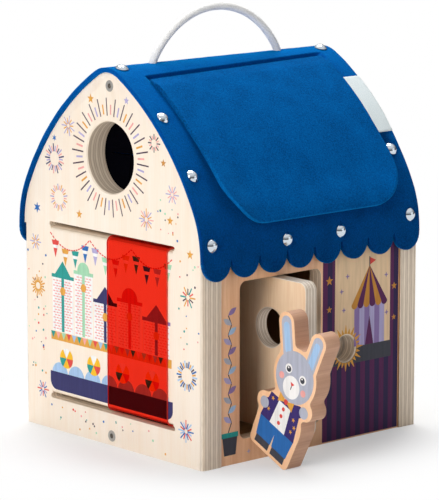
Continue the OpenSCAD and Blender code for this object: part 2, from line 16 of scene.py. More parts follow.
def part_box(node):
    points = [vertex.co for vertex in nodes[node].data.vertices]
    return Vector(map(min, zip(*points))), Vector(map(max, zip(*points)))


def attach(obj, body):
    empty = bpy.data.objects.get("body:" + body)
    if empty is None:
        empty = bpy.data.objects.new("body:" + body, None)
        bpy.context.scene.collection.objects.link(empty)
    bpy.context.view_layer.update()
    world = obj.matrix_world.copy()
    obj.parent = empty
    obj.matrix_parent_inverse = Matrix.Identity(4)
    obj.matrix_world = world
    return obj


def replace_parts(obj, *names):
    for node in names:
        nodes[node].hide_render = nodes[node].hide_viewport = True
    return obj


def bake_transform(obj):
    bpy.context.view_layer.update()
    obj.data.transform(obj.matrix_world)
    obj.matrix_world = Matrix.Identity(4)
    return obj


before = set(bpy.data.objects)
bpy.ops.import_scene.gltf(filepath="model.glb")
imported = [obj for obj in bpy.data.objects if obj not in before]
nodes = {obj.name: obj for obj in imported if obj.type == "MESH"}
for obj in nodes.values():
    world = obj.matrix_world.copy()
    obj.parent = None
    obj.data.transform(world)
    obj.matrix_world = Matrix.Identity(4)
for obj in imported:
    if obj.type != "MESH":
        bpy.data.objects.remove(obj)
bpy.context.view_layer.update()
scene = bpy.context.scene
scene.view_settings.view_transform = "Standard"
MM = 0.001

# %% [markdown]
# ## Camera
# The picture was taken from the window side, a little above the eaves, with a long lens. The
# angles, the distance and the focal length in pixels were solved from the house's corners, so the
# camera is placed by those values and needs no shift.

# %% Place the camera
AZIMUTH, ELEVATION = math.radians(-41.566), math.radians(10.479)
DISTANCE = 1.84957
FOCAL_PIXELS, LONG_SIDE_PIXELS, SENSOR_MM = 2935.05, 500, 36
AIM_RIGHT, AIM_UP, AIM_Z = -0.83 * MM, -8.178 * MM, 120 * MM

back = Vector((
    math.sin(AZIMUTH) * math.cos(ELEVATION),
    -math.cos(AZIMUTH) * math.cos(ELEVATION),
    math.sin(ELEVATION),
))
right = Vector((math.cos(AZIMUTH), math.sin(AZIMUTH), 0))
aim = Vector((0, 0, AIM_Z)) + AIM_RIGHT * right + AIM_UP * back.cross(right)

camera = bpy.data.objects.new("camera", bpy.data.cameras.new("camera"))
scene.collection.objects.link(camera)
camera.data.sensor_width = SENSOR_MM
camera.data.lens = FOCAL_PIXELS * SENSOR_MM / LONG_SIDE_PIXELS
camera.location = aim + DISTANCE * back
camera.rotation_mode = "QUATERNION"
camera.rotation_quaternion = (-back).to_track_quat("-Z", "Y")
scene.camera = camera
print("lens in mm:", round(camera.data.lens, 1))

# %% [markdown]
# ## Materials from nodes
# Every finish here starts from the Principled shader. A plain value goes straight onto one of its
# sockets, and a pattern is linked to it. A small helper adds a node, sets its properties and fills
# or links its inputs, so that each finish reads as a short recipe. Patterns use the object's own
# coordinates: they stay put when a piece moves.

# %% Helpers for node recipes
def wire(mat, kind, inputs=(), **settings):
    """Adds a node, sets its properties, and fills or links its inputs."""
    made = mat.node_tree.nodes.new(kind)
    for key, value in settings.items():
        setattr(made, key, value)
    for key, value in dict(inputs).items():
        if isinstance(value, bpy.types.NodeSocket):
            mat.node_tree.links.new(value, made.inputs[key])
        else:
            made.inputs[key].default_value = value
    return made


def finish_of(name, **sockets):
    """A new material and its Principled shader, with plain values on the shader's sockets."""
    mat = bpy.data.materials.new(name)
    mat.use_nodes = True
    shader = mat.node_tree.nodes["Principled BSDF"]
    for key, value in sockets.items():
        shader.inputs[key.replace("_", " ").title().replace("Ior", "IOR")].default_value = value
    return mat, shader


def link_to(mat, shader, socket, value):
    """Feeds a value into a socket of the shader, or of another node."""
    mat.node_tree.links.new(value, shader.inputs[socket])


def srgb(code):
    """Linear colour of a written web colour such as d8cbb8."""
    parts = [int(code[i:i + 2], 16) / 255 for i in (0, 2, 4)]
    return tuple(c / 12.92 if c <= 0.04045 else ((c + 0.055) / 1.055) ** 2.4 for c in parts) + (1,)


print("a written mid grey as linear light:", round(srgb("808080")[0], 3))


# %% Helpers for patterns
def own_place(mat):
    """Coordinates of the piece that wears the material."""
    return wire(mat, "ShaderNodeTexCoord").outputs["Object"]


def speckle(mat, scale, stretch=(1, 1, 1), detail=3):
    """Noise in object space, drawn out along the axes whose stretch is small."""
    drawn = wire(mat, "ShaderNodeMapping", {"Vector": own_place(mat), "Scale": stretch})
    return wire(mat, "ShaderNodeTexNoise", {
        "Vector": drawn.outputs["Vector"], "Scale": scale, "Detail": detail,
    }).outputs["Fac"]


def ramp(mat, value, stops):
    """Colour ramp with (place, colour) stops."""
    made = wire(mat, "ShaderNodeValToRGB", {"Fac": value})
    band = made.color_ramp
    while len(band.elements) < len(stops):
        band.elements.new(0.5)
    for element, (place, colour) in zip(band.elements, stops):
        element.position = place
        element.color = colour
    return made.outputs["Color"]


def mottled(mat, shader, scale, deep, lit):
    """Gives the shader two tones of one colour that follow a noise."""
    tones = ramp(mat, speckle(mat, scale), [(0.3, srgb(deep)), (0.7, srgb(lit))])
    link_to(mat, shader, "Base Color", tones)


def relief(mat, shader, height, depth, strength):
    """Bumps the shader's normal by a height value."""
    bump = wire(mat, "ShaderNodeBump", {"Height": height, "Distance": depth, "Strength": strength})
    link_to(mat, shader, "Normal", bump.outputs["Normal"])


print("patterns:", [helper.__name__ for helper in (speckle, ramp, mottled, relief)])

# %% [markdown]
# ## Pieces from meshes
# A mesh is only a shape: an object puts it in the scene, and riding on a body of the frame makes it
# move with that body. Two helpers do both, one for lists of points and faces, the other for a mesh
# that was edited with Blender's mesh tools. Every piece below comes from one of them.

# %% Put a mesh in the scene
def placed(name, mesh, body, materials):
    """An object for a mesh, which rides on a CAD body where one is named."""
    for mat in materials:
        mesh.materials.append(mat)
    obj = bpy.data.objects.new(name, mesh)
    scene.collection.objects.link(obj)
    if body:
        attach(obj, body)
    return obj


def piece_from(name, verts, faces, body, materials=()):
    """A smooth piece from its points and faces."""
    mesh = bpy.data.meshes.new(name)
    mesh.from_pydata([tuple(v) for v in verts], [], faces)
    mesh.update()
    for polygon in mesh.polygons:
        polygon.use_smooth = True
    return placed(name, mesh, body, materials)


def piece_of(name, shape, body, materials):
    """A piece from an edited mesh, which is freed."""
    mesh = bpy.data.meshes.new(name)
    shape.to_mesh(mesh)
    shape.free()
    return placed(name, mesh, body, materials)


# %% [markdown]
# ## Rope handle
# The handle is soft white braided rope. It comes up through the ridge on both sides, stands in an
# arch, and is knotted under the ridge beam. A curve with a round bevel would look like a plastic
# hose, so a lobed tube is swept along the route by hand: two families of strands cross each other,
# as in a real braid. The route repeats the one in the CAD source.

# %% Sweep a tube along a route
def resampled(points, step):
    """Points at an even spacing along a polyline."""
    lengths = [(b - a).length for a, b in zip(points, points[1:])]
    total = sum(lengths)
    count = max(2, round(total / step))
    found, index, done = [], 0, 0.0
    for k in range(count + 1):
        goal = total * k / count
        while index < len(lengths) - 1 and done + lengths[index] < goal:
            done += lengths[index]
            index += 1
        share = (goal - done) / lengths[index]
        found.append(points[index].lerp(points[index + 1], min(max(share, 0), 1)))
    return found


def swept(path, radius_at, sides, closed=False):
    """Verts and faces of a tube whose radius depends on the angle and the distance along it."""
    count = len(path)
    verts, faces = [], []
    side, travelled = None, 0.0
    for i, point in enumerate(path):
        before = path[i - 1] if closed or i else path[i]
        after = path[(i + 1) % count] if closed or i < count - 1 else path[i]
        along = (after - before).normalized()
        side = along.orthogonal() if side is None else side - side.dot(along) * along
        side.normalize()
        up = along.cross(side)
        travelled += (point - path[i - 1]).length if i else 0
        for k in range(sides):
            turn = 2 * math.pi * k / sides
            r = radius_at(turn, travelled)
            verts.append(point + r * (math.cos(turn) * side + math.sin(turn) * up))
    for i in range(count if closed else count - 1):
        a, b = i * sides, (i + 1) % count * sides
        for k in range(sides):
            n = (k + 1) % sides
            faces.append((a + k, a + n, b + n, b + k))
    if not closed:
        faces.append(tuple(range(sides - 1, -1, -1)))
        faces.append(tuple(range((count - 1) * sides, count * sides)))
    return verts, faces


bar = swept([Vector((0, 0, 0)), Vector((0, 0, 1))], lambda turn, travelled: 1, 4)
print("faces of a square bar:", len(bar[1]))

# %% [markdown]
# Cotton is matt, with a soft light along its outline, so it gets a high roughness and some sheen. A
# fine noise bumps it as loose fibres would.

# %% Cotton finish
cotton, shader = finish_of("white_cotton", roughness=0.85, sheen_weight=0.25)
mottled(cotton, shader, 900, "ecebe9", "fdfcfa")
relief(cotton, shader, speckle(cotton, 2600), 0.2 * MM, 0.6)
print("cotton nodes:", len(cotton.node_tree.nodes))

# %% Make the rope
ROPE_D = 5 * MM
ROPE_X, ROPE_HALF, ROPE_RISE, ROPE_END = -4 * MM, 52 * MM, 31.3 * MM, 30
ROPE_STEP, ROPE_SIDES, SOFTENING = 0.6 * MM, 28, 24
BRAID_STRANDS, BRAID_PITCH, BRAID_DEPTH = 6, 15 * MM, 0.055
ROOF_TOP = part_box("roof_felt")[1].z
BEAM_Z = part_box("ridge_beam")[0].z


def rope_point(degrees):
    """Point of the handle's arch, which is part of an ellipse."""
    c, s = math.cos(math.radians(degrees)), math.sin(math.radians(degrees))
    end_c, end_s = math.cos(math.radians(ROPE_END)), math.sin(math.radians(ROPE_END))
    rise = ROPE_RISE * (s - end_s) / (1 - end_s)
    return Vector((ROPE_X + ROPE_HALF * c / end_c, 0, ROOF_TOP + rise))


def braid_radius(turn, travelled):
    """Radius of the braid, which has a lobe where a strand of either family lies on top."""
    twist = 2 * math.pi * travelled / BRAID_PITCH
    lobes = max(math.cos(BRAID_STRANDS * (turn + twist)), math.cos(BRAID_STRANDS * (turn - twist)))
    return ROPE_D / 2 * (1 - BRAID_DEPTH + BRAID_DEPTH * lobes)


arch_points = [rope_point(180 - ROPE_END - k) for k in range(181 - 2 * ROPE_END)]
ends = [Vector((p.x, 0, BEAM_Z)) for p in (arch_points[0], arch_points[-1])]
rope_path = resampled([ends[0], *arch_points, ends[1]], ROPE_STEP)
for _ in range(SOFTENING):
    inner_points = [(a + b + c) / 3 for a, b, c in zip(rope_path, rope_path[1:], rope_path[2:])]
    rope_path = [rope_path[0], *inner_points, rope_path[-1]]
rope = piece_from("rope", *swept(rope_path, braid_radius, ROPE_SIDES), "house", [cotton])
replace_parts(rope, "rope_handle")

# %% [markdown]
# A knot under the beam holds each end of the rope. A ball would do as a stopper, but the eye looks
# for crossing turns, so a plain round tube follows a trefoil, the simplest tied loop.

# %% Tie the knots
KNOT_SCALE, KNOT_TUBE, KNOT_DROP = 1.35 * MM, 2.2 * MM, 4.6 * MM
KNOT_STEPS, KNOT_SIDES, KNOT_DEPTH = 120, 14, 1.3


def trefoil_point(share):
    """Point of a trefoil loop round the origin, at a share of its whole turn."""
    t = 2 * math.pi * share
    return Vector((
        math.sin(t) + 2 * math.sin(2 * t),
        math.cos(t) - 2 * math.cos(2 * t),
        -KNOT_DEPTH * math.sin(3 * t),
    ))


for label, end in zip(("left", "right"), ends):
    middle = end - Vector((0, 0, KNOT_DROP))
    loop = [middle + KNOT_SCALE * trefoil_point(k / KNOT_STEPS) for k in range(KNOT_STEPS)]
    tube = swept(loop, lambda turn, travelled: KNOT_TUBE, KNOT_SIDES, True)
    knot = piece_from(f"rope_tied_{label}", *tube, "house", [cotton])
    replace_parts(knot, f"rope_knot_{label}")

# %% [markdown]
# ## Light and floor
# A product picture like this has a white sweep, a broad soft light from the window side and from
# above, and very little fill, so the door side lies in shade. The floor is a plain white disc that
# fades to pure white away from the house: it keeps the soft shadow and shows no horizon.

# %% Floor
FLOOR_RADIUS, FLOOR_SIDES, FLOOR_DROP = 6.0, 64, 0.05 * MM
FADE_START, FADE_END, FADE_LEAST = 0.105, 0.19, 0.36


def reckon(mat, operation, *values):
    """Result of a Math node on sockets or plain numbers."""
    return wire(mat, "ShaderNodeMath", dict(enumerate(values)), operation=operation).outputs["Value"]


def mix_surface(mat, share, first, second):
    """Makes a mix of two shaders the material's surface."""
    mixed = wire(mat, "ShaderNodeMixShader", {0: share, 1: first, 2: second})
    link_to(mat, mat.node_tree.nodes["Material Output"], "Surface", mixed.outputs["Shader"])


paper, shader = finish_of("paper", base_color=(0.9, 0.9, 0.9, 1), roughness=0.9, specular_ior_level=0.1)
reach = wire(paper, "ShaderNodeVectorMath", {0: own_place(paper)}, operation="LENGTH")
fade = wire(paper, "ShaderNodeMapRange", {
    "Value": reach.outputs["Value"], "From Min": FADE_START, "From Max": FADE_END, "To Min": FADE_LEAST,
}, interpolation_type="SMOOTHSTEP").outputs["Result"]
white = wire(paper, "ShaderNodeEmission", {"Color": (1, 1, 1, 1), "Strength": 1.0})
rays = wire(paper, "ShaderNodeLightPath").outputs
seen = reckon(paper, "MAXIMUM", rays["Is Camera Ray"], rays["Is Glossy Ray"])
seen = reckon(paper, "MAXIMUM", seen, rays["Is Transmission Ray"])
share = reckon(paper, "MULTIPLY", fade, seen)
mix_surface(paper, share, shader.outputs["BSDF"], white.outputs["Emission"])

shape = bmesh.new()
bmesh.ops.create_circle(shape, cap_ends=True, segments=FLOOR_SIDES, radius=FLOOR_RADIUS)
floor = piece_of("floor", shape, None, [paper])
floor.location.z = -FLOOR_DROP
print("floor width in m:", 2 * FLOOR_RADIUS)

# %% [markdown]
# The world is white to the camera and through the film, and gives only a faint fill light. Polished
# metal needs something dark to reflect, so for mirror rays the world is dim near the horizon and
# bright overhead.

# %% World
AMBIENT, HORIZON, ZENITH = 0.1, 0.0, 0.8
DIM_BELOW, BRIGHT_ABOVE = 0.15, 0.75

world = bpy.data.worlds.new("studio")
scene.world = world
world.use_nodes = True
sky = world.node_tree.nodes["Background"]
sky.inputs["Color"].default_value = (1, 1, 1, 1)
rays = wire(world, "ShaderNodeLightPath").outputs
seen = reckon(world, "MAXIMUM", rays["Is Camera Ray"], rays["Is Transmission Ray"])
level = wire(world, "ShaderNodeMapRange", {"Value": seen, "To Min": AMBIENT, "To Max": 1.0})
direction = wire(world, "ShaderNodeTexCoord").outputs["Generated"]
upward = wire(world, "ShaderNodeSeparateXYZ", {"Vector": direction}).outputs["Z"]
mirrored = wire(world, "ShaderNodeMapRange", {
    "Value": upward, "From Min": DIM_BELOW, "From Max": BRIGHT_ABOVE, "To Min": HORIZON, "To Max": ZENITH,
}).outputs["Result"]
light = reckon(world, "MULTIPLY_ADD", mirrored, rays["Is Glossy Ray"], level.outputs["Result"])
link_to(world, sky, "Strength", light)
print("world nodes:", len(world.node_tree.nodes))

# %% [markdown]
# Three square area lamps stand for the soft boxes of a studio. A sun lamp would draw hard shadows,
# and the larger an area lamp is, the softer they get. Most light comes from the window side and from
# above.

# %% Lamps
LAMP_AIM = Vector((0, 0, 0.1))


def softbox(name, place, size, watts):
    """A square lamp that looks at the middle of the house."""
    lamp = bpy.data.objects.new(name, bpy.data.lights.new(name, "AREA"))
    lamp.data.size = size
    lamp.data.energy = watts
    lamp.location = place
    lamp.rotation_mode = "QUATERNION"
    lamp.rotation_quaternion = (LAMP_AIM - lamp.location).to_track_quat("-Z", "Y")
    scene.collection.objects.link(lamp)


softbox("window_side_lamp", Vector((-1.55, -0.4, 0.75)), 1.0, 19)
softbox("top_lamp", Vector((0.35, 0.5, 1.72)), 1.2, 34)
softbox("front_fill", Vector((0.9, -1.5, 0.35)), 1.2, 3.6)

# %% [markdown]
# ## Birch plywood
# The boards are birch plywood under a clear coat. Their faces show a fine upright grain and their
# edges show the layers. Two finishes do this: one draws noise out along the grain, the other
# turns the distance through the board into bands.

# %% Plywood faces
def blend_colours(mat, factor, a, b, mode="MIX"):
    """Mixes two patterns by a plain factor."""
    made = wire(mat, "ShaderNodeMix", {0: factor, 6: a, 7: b}, data_type="RGBA", blend_type=mode)
    return made.outputs[2]


def birch_face(name, pale, dark, along=2, roughness=0.48):
    """Wood face whose grain runs along one axis."""
    mat, shader = finish_of(name, roughness=roughness, coat_weight=0.15, coat_roughness=0.35)
    stretch = [1.0, 1.0, 1.0]
    stretch[along] = 0.05
    broad = speckle(mat, 120, stretch, 4)
    fine = speckle(mat, 900, stretch, 3)
    tone = blend_colours(mat, 0.4, broad, fine)
    link_to(mat, shader, "Base Color", ramp(mat, tone, [(0.36, srgb(dark)), (0.62, srgb(pale))]))
    relief(mat, shader, fine, 0.12 * MM, 0.35)
    return mat


gable_face = birch_face("printed_birch", "f6e9d9", "f3e1cc")
# The inside faces get a darker brown than the outer birch: painted shade for the dim inside of the house.
interior_shade_face = birch_face("interior_shade_birch", "b18a60", "9a7349")
front_face = birch_face("front_birch", "f6c499", "e7ae82")
door_face = birch_face("door_birch", "fde0be", "f0caa2")
floor_face = birch_face("floor_birch", "b89468", "a27c52", along=0)
print("wood faces:", [m.name for m in (gable_face, interior_shade_face, front_face, door_face, floor_face)])


# %% Plywood edges
def spread(mat, value, low, high):
    """Maps a noise value onto a range."""
    made = wire(mat, "ShaderNodeMapRange", {"Value": value, "To Min": low, "To Max": high})
    return made.outputs["Result"]


def birch_layers(name, axis, low, high, bands, pale, dark):
    """Wood edge whose bands lie between two places along an axis, in millimetres."""
    mat, shader = finish_of(name, roughness=0.62)
    split = wire(mat, "ShaderNodeSeparateXYZ", {"Vector": own_place(mat)}).outputs[axis]
    depth = wire(mat, "ShaderNodeMapRange", {
        "Value": split, "From Min": low * MM, "From Max": high * MM, "To Max": bands,
    }, clamp=False).outputs["Result"]
    wavy = reckon(mat, "ADD", depth, spread(mat, speckle(mat, 90), -0.12, 0.12))
    layer = reckon(mat, "PINGPONG", wavy, 1.0)
    stretch = [0.12, 0.12, 0.12]
    stretch[axis] = 1.0
    fibre = speckle(mat, 1400, stretch, 4)
    banded = ramp(mat, layer, [
        (0.32, srgb(pale)), (0.5, srgb(dark)), (0.78, srgb(dark)), (1.0, srgb(pale)),
    ])
    shaded = ramp(mat, fibre, [(0.3, (0.88, 0.87, 0.86, 1)), (0.6, (1, 1, 1, 1))])
    link_to(mat, shader, "Base Color", blend_colours(mat, 1.0, banded, shaded, "MULTIPLY"))
    relief(mat, shader, fibre, 0.15 * MM, 0.4)
    return mat


PLY_PALE, PLY_DARK = "f5e6d2", "d6c2ab"
LAYERS = {
    "gable_left": ("left_gable_layers", 0, -90, -75, 8),
    "gable_right": ("right_gable_layers", 0, 75, 90, 8),
    "front_wall": ("front_wall_layers", 1, -84, -74, 6),
    "back_wall": ("back_wall_layers", 1, 74, 84, 6),
    "floor_board": ("floor_layers", 2, 0, 12, 8),
    "ridge_beam": ("beam_layers", 1, -13, 13, 16),
}
edge_of = {node: birch_layers(*layers, PLY_PALE, PLY_DARK) for node, layers in LAYERS.items()}
edge_of["turning_door"] = birch_layers("door_layers", 0, -30.7, -21.3, 8, "f6ebdc", "d0bda8")
print("layered edges:", len(edge_of))

# %% [markdown]
# ## Boards with eased edges
# Real boards are sanded, so their edges are slightly round and catch the light. A CAD mesh is never
# changed, so each board gets a copy whose sharp edges are bevelled, and the copy stands for the node.

# %% Ease the boards
WELD, FLAT_ANGLE, BOARD_CREASE = 0.002 * MM, math.radians(0.5), math.radians(22)
EASE, DOOR_EASE, EASE_STEPS = 0.7 * MM, 0.9 * MM, 3


def welded(node):
    """Editable copy of a CAD node, with whole flat faces in place of its triangles."""
    shape = bmesh.new()
    shape.from_mesh(nodes[node].data)
    bmesh.ops.remove_doubles(shape, verts=shape.verts, dist=WELD)
    bmesh.ops.dissolve_limit(shape, angle_limit=FLAT_ANGLE, verts=shape.verts, edges=shape.edges)
    shape.normal_update()
    return shape


def eased_copy(node, name, body, ease, axis, finishes):
    """Copy of a CAD board with its face outlines rounded, and a finish for face, edge and back."""
    shape = welded(node)
    rims = []
    for edge in shape.edges:
        if len(edge.link_faces) != 2:
            continue
        turns = sorted(abs(f.normal[axis]) for f in edge.link_faces)
        if turns[1] > 0.999 and turns[0] < 0.02:
            rims.append(edge)
    bmesh.ops.bevel(
        shape, geom=rims, offset=ease, segments=EASE_STEPS, profile=0.5, affect="EDGES", clamp_overlap=True,
    )
    shape.normal_update()
    for face in shape.faces:
        towards = face.normal[axis]
        face.material_index = 0 if towards < -0.9 else 2 if towards > 0.9 else 1
        face.smooth = True
    made = piece_of(name, shape, body, finishes)
    made.data.set_sharp_from_angle(angle=BOARD_CREASE)
    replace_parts(made, node)
    return made


BOARDS = [
    ("gable_left", "window_gable", "house", EASE, 0, gable_face, interior_shade_face, "gable_ply"),
    ("gable_right", "far_gable", "house", EASE, 0, interior_shade_face, gable_face, "gable_ply"),
    ("front_wall", "door_wall", "house", EASE, 1, front_face, interior_shade_face, "front_ply"),
    ("back_wall", "rear_wall", "house", EASE, 1, interior_shade_face, front_face, "plain_wood"),
    ("floor_board", "floor_panel", "house", EASE, 2, floor_face, floor_face, "plain_wood"),
    ("ridge_beam", "ridge_rail", "house", EASE, 1, floor_face, floor_face, "plain_wood"),
    ("turning_door", "door_leaf", "door", DOOR_EASE, 0, door_face, door_face, "door_ply"),
]
for node, name, body, ease, axis, face, reverse, slot in BOARDS:
    board = eased_copy(node, name, body, ease, axis, (face, edge_of[node], reverse))
    print(name, "faces:", len(board.data.polygons))

# %% [markdown]
# ## Felt roof
# The roof is one sheet of thick pressed felt, nailed over the arch, with a scalloped hem front and
# back. A solid would look like moulded plastic, so the sheet is built as a grid that follows the
# arch by its length, with a rounded cut edge, a slightly uneven surface and hems that stand off a
# little. The arch repeats the CAD values, in millimetres.

# %% The line of the roof
HALF_D, EAVE_Z = 85, 129
SHOULDER_R, SHOULDER_A, SLOPE_R, CROWN_R = 58.5, 26, 175, 20


def toward(degrees):
    """Unit vector at an angle, in a plane."""
    return Vector((math.cos(math.radians(degrees)), math.sin(math.radians(degrees))))


shoulder_c = Vector((HALF_D - SHOULDER_R, EAVE_Z))
slope_c = shoulder_c - (SLOPE_R - SHOULDER_R) * toward(SHOULDER_A)
crown_c = Vector((0, slope_c.y + math.sqrt((SLOPE_R - CROWN_R) ** 2 - slope_c.x ** 2)))
CROWN_A = math.degrees(math.atan2(crown_c.y - slope_c.y, -slope_c.x))
RUNS = (
    (crown_c, CROWN_R, 90, CROWN_A),
    (slope_c, SLOPE_R, CROWN_A, SHOULDER_A),
    (shoulder_c, SHOULDER_R, SHOULDER_A, 0),
)
EAVE_S = sum(r * math.radians(a - b) for _, r, a, b in RUNS)


def roof_point(x, s, out):
    """Point at distance s from the ridge along the arch, in metres; positive s is the front."""
    left = abs(s)
    angle, base = 0.0, None
    for centre, r, start, stop in RUNS:
        run = r * math.radians(start - stop)
        if left <= run:
            angle = start - math.degrees(left / r)
            base = centre + r * toward(angle)
            break
        left -= run
    if base is None:
        base = Vector((HALF_D, EAVE_Z - left))
    spot = base + out * toward(angle)
    return Vector((x, -math.copysign(spot.x, s) if s else -spot.x, spot.y)) * MM


def s_at_angle(degrees):
    """Distance from the ridge to the place on the arch whose normal has this angle."""
    return sum(
        r * math.radians(start - max(degrees, stop)) for _, r, start, stop in RUNS if degrees < start
    )


print("ridge to eave along the arch in mm:", round(EAVE_S, 1))

# %% [markdown]
# Both felt pieces are closed sheets: an outer grid, an inner grid and a rim between them. A Solidify
# modifier would leave a square rim. Cut felt has a soft round one, so the rim is built in steps.

# %% A thick sheet from a grid
RIM_STEPS = 3


def rim_of(nx, ny):
    """Grid places round the edge of a sheet, in order."""
    there = [(i, 0) for i in range(nx)] + [(nx - 1, j) for j in range(1, ny)]
    return there + [(i, ny - 1) for i in range(nx - 2, -1, -1)] + [(0, j) for j in range(ny - 2, 0, -1)]


def thick_sheet(columns, rows_at, outer_at, inner_at, bulge, place=roof_point):
    """Verts and faces of a closed sheet with a rounded rim, in metres.

    columns are places along the ridge and rows_at gives each column's places along the arch.
    The rim's faces come last.
    """
    grid = [rows_at(x) for x in columns]
    nx, ny = len(columns), len(grid[0])
    half = nx * ny
    outer, inner = (
        [[place(x, s, level_at(x, s)) for s in rows] for x, rows in zip(columns, grid)]
        for level_at in (outer_at, inner_at)
    )
    verts = [p for col in outer for p in col] + [p for col in inner for p in col]
    faces = []
    for i in range(nx - 1):
        for j in range(ny - 1):
            corner = i * ny + j
            quad = (corner, corner + ny, corner + ny + 1, corner + 1)
            faces.append(quad)
            faces.append(tuple(half + k for k in reversed(quad)))
    rim = rim_of(nx, ny)
    mids = [(outer[i][j] + inner[i][j]) / 2 for i, j in rim]
    rings = []
    for k, (i, j) in enumerate(rim):
        thick = outer[i][j] - inner[i][j]
        run = mids[(k + 1) % len(rim)] - mids[k - 1]
        away = run.cross(thick)
        inside_i, inside_j = min(max(i, 1), nx - 2), min(max(j, 1), ny - 2)
        inside = (outer[inside_i][inside_j] + inner[inside_i][inside_j]) / 2
        if away.dot(mids[k] - inside) < 0:
            away.negate()
        away.normalize()
        ring = [i * ny + j]
        for m in range(1, RIM_STEPS + 1):
            turn = math.pi * m / (RIM_STEPS + 1)
            ring.append(len(verts))
            verts.append(mids[k] + math.cos(turn) * thick / 2 + math.sin(turn) * bulge * away)
        ring.append(half + i * ny + j)
        rings.append(ring)
    for k, ring in enumerate(rings):
        after = rings[(k + 1) % len(rings)]
        for m in range(RIM_STEPS + 1):
            faces.append((ring[m], ring[m + 1], after[m + 1], after[m]))
    return verts, faces


print("a sheet of 4 by 3 points has a rim of", len(rim_of(4, 3)))

# %% [markdown]
# Pressed felt has no weave: it is a mat of fibres, matt, slightly cloudy, with a faint bloom of its own
# colour at grazing angles. Two scales of noise give the clouds and the fibres, and sheen gives the bloom.
# The flap has less bloom than the roof, and a paler base colour that is painted light, since roof and flap
# are one felt. The roof's colour is painted paler towards the ridge, where the top light falls, and darker
# towards the hem, as painted shade. The flap's cut edge is painted paler towards its lower corners, as
# painted highlight, and darker towards the seam, as painted shade.

# %% Felt finishes
PAINTED_LIGHT_FROM, PAINTED_LIGHT_TO, PAINTED_LIGHT_SHIFT = 115 * MM, 235 * MM, 0.2


def felt(name, deep, lit, bloom, sheen, light_shift=0.0):
    """Felt in two tones, whose colour is shifted with height by the given amount: painted light paler up
    high and painted shade darker low down, the other way round when the amount is negative.
    """
    mat, shader = finish_of(
        name, roughness=0.95, specular_ior_level=0.03,
        sheen_weight=sheen, sheen_roughness=0.5, sheen_tint=bloom,
    )
    clouds = speckle(mat, 70, detail=5)
    fibres = speckle(mat, 1100, detail=6)
    tone = blend_colours(mat, 0.7, clouds, fibres)
    # Painted light and shade: the colour is shifted paler or darker with height.
    if light_shift:
        height = wire(mat, "ShaderNodeSeparateXYZ", {"Vector": own_place(mat)}).outputs["Z"]
        shift = wire(mat, "ShaderNodeMapRange", {
            "Value": height, "From Min": PAINTED_LIGHT_FROM, "From Max": PAINTED_LIGHT_TO,
            "To Min": -light_shift, "To Max": light_shift,
        })
        tone = reckon(mat, "ADD", tone, shift.outputs["Result"])
    reach = 0.16 + 0.7 * abs(light_shift)
    tones = ramp(mat, tone, [(0.5 - reach, srgb(deep)), (0.5 + reach, srgb(lit))])
    link_to(mat, shader, "Base Color", tones)
    relief(mat, shader, fibres, 0.5 * MM, 0.6)
    return mat


# The roof is painted paler towards the ridge as painted light and darker towards the hem as painted shade.
blue_felt = felt("blue_felt", "002056", "004ea2", (0.0, 0.44, 1.0, 1), 0.7, PAINTED_LIGHT_SHIFT)
# The flap is the same felt as the roof; its paler base colour is painted light.
flap_felt = felt("flap_felt", "00427e", "0062ae", (0.0, 0.45, 1.0, 1), 0.12)
# The flap's cut edge is painted paler low down as painted highlight and darker towards the seam as painted
# shade.
cut_edge_light_and_shade = felt("cut_edge_light_and_shade", "002a5c", "0676c4", (0.0, 0.45, 1.0, 1), 0.3, -PAINTED_LIGHT_SHIFT)
black_felt = felt("black_felt", "000002", "020208", srgb("101014"), 0.02)
print("felts:", [m.name for m in (blue_felt, flap_felt, cut_edge_light_and_shade, black_felt)])

# %% [markdown]
# The grid needs most points where the sheet bends most: across each scallop, along the hem and over
# the pressed groove above the flap. So its columns follow the scallops and its rows crowd together
# at the groove. The studs are placed here too, because each one presses a dimple into the felt.

# %% Columns, rows and studs of the roof
FELT_X0, FELT_X1, FELT_IN, FELT_OUT = -92.3, 88.7, 0.1, 3.1
RIM = 0.4
SCALLOPS, SCALLOP_R, NOTCH, HEM_Z = 8, 10.75, 12.5, 114.5
COLUMNS_EACH, ROW_STEP, HEM_ROWS = 14, 2.4, 9
STRAIGHT_S = EAVE_S - 4
FLAP_HALF_W, FLAP_S0, FLAP_SKEW = 73, s_at_angle(57.5), 0.035
GROOVE_S, GROOVE_DEPTH, GROOVE_STEP = FLAP_S0 - 5.8, 2.2, 0.4
STUD_X, EAVE_STUD_X, EAVE_STUD_ANGLE = 82.5, 22.3, 4
GABLE_STUD_ANGLES, RIDGE_STUD_ANGLE = (7, 33.5, 47), 77

felt_mid = (FELT_X0 + FELT_X1) / 2
pitch = (FELT_X1 - FELT_X0) / SCALLOPS
roof_columns = [FELT_X0 + RIM]
for k in range(SCALLOPS):
    middle = FELT_X0 + (k + 0.5) * pitch
    for m in range(COLUMNS_EACH + 1):
        roof_columns.append(middle + SCALLOP_R * math.sin(math.pi * (m / COLUMNS_EACH - 0.5)))
    roof_columns.append(middle + pitch / 2 if k < SCALLOPS - 1 else FELT_X1 - RIM)

row_range = range(int(-STRAIGHT_S / ROW_STEP), int(STRAIGHT_S / ROW_STEP) + 1)
straight_rows = [k * ROW_STEP for k in row_range] + [GROOVE_S + GROOVE_STEP * k for k in range(-8, 28)]
straight_rows = sorted(set(round(s, 3) for s in straight_rows))

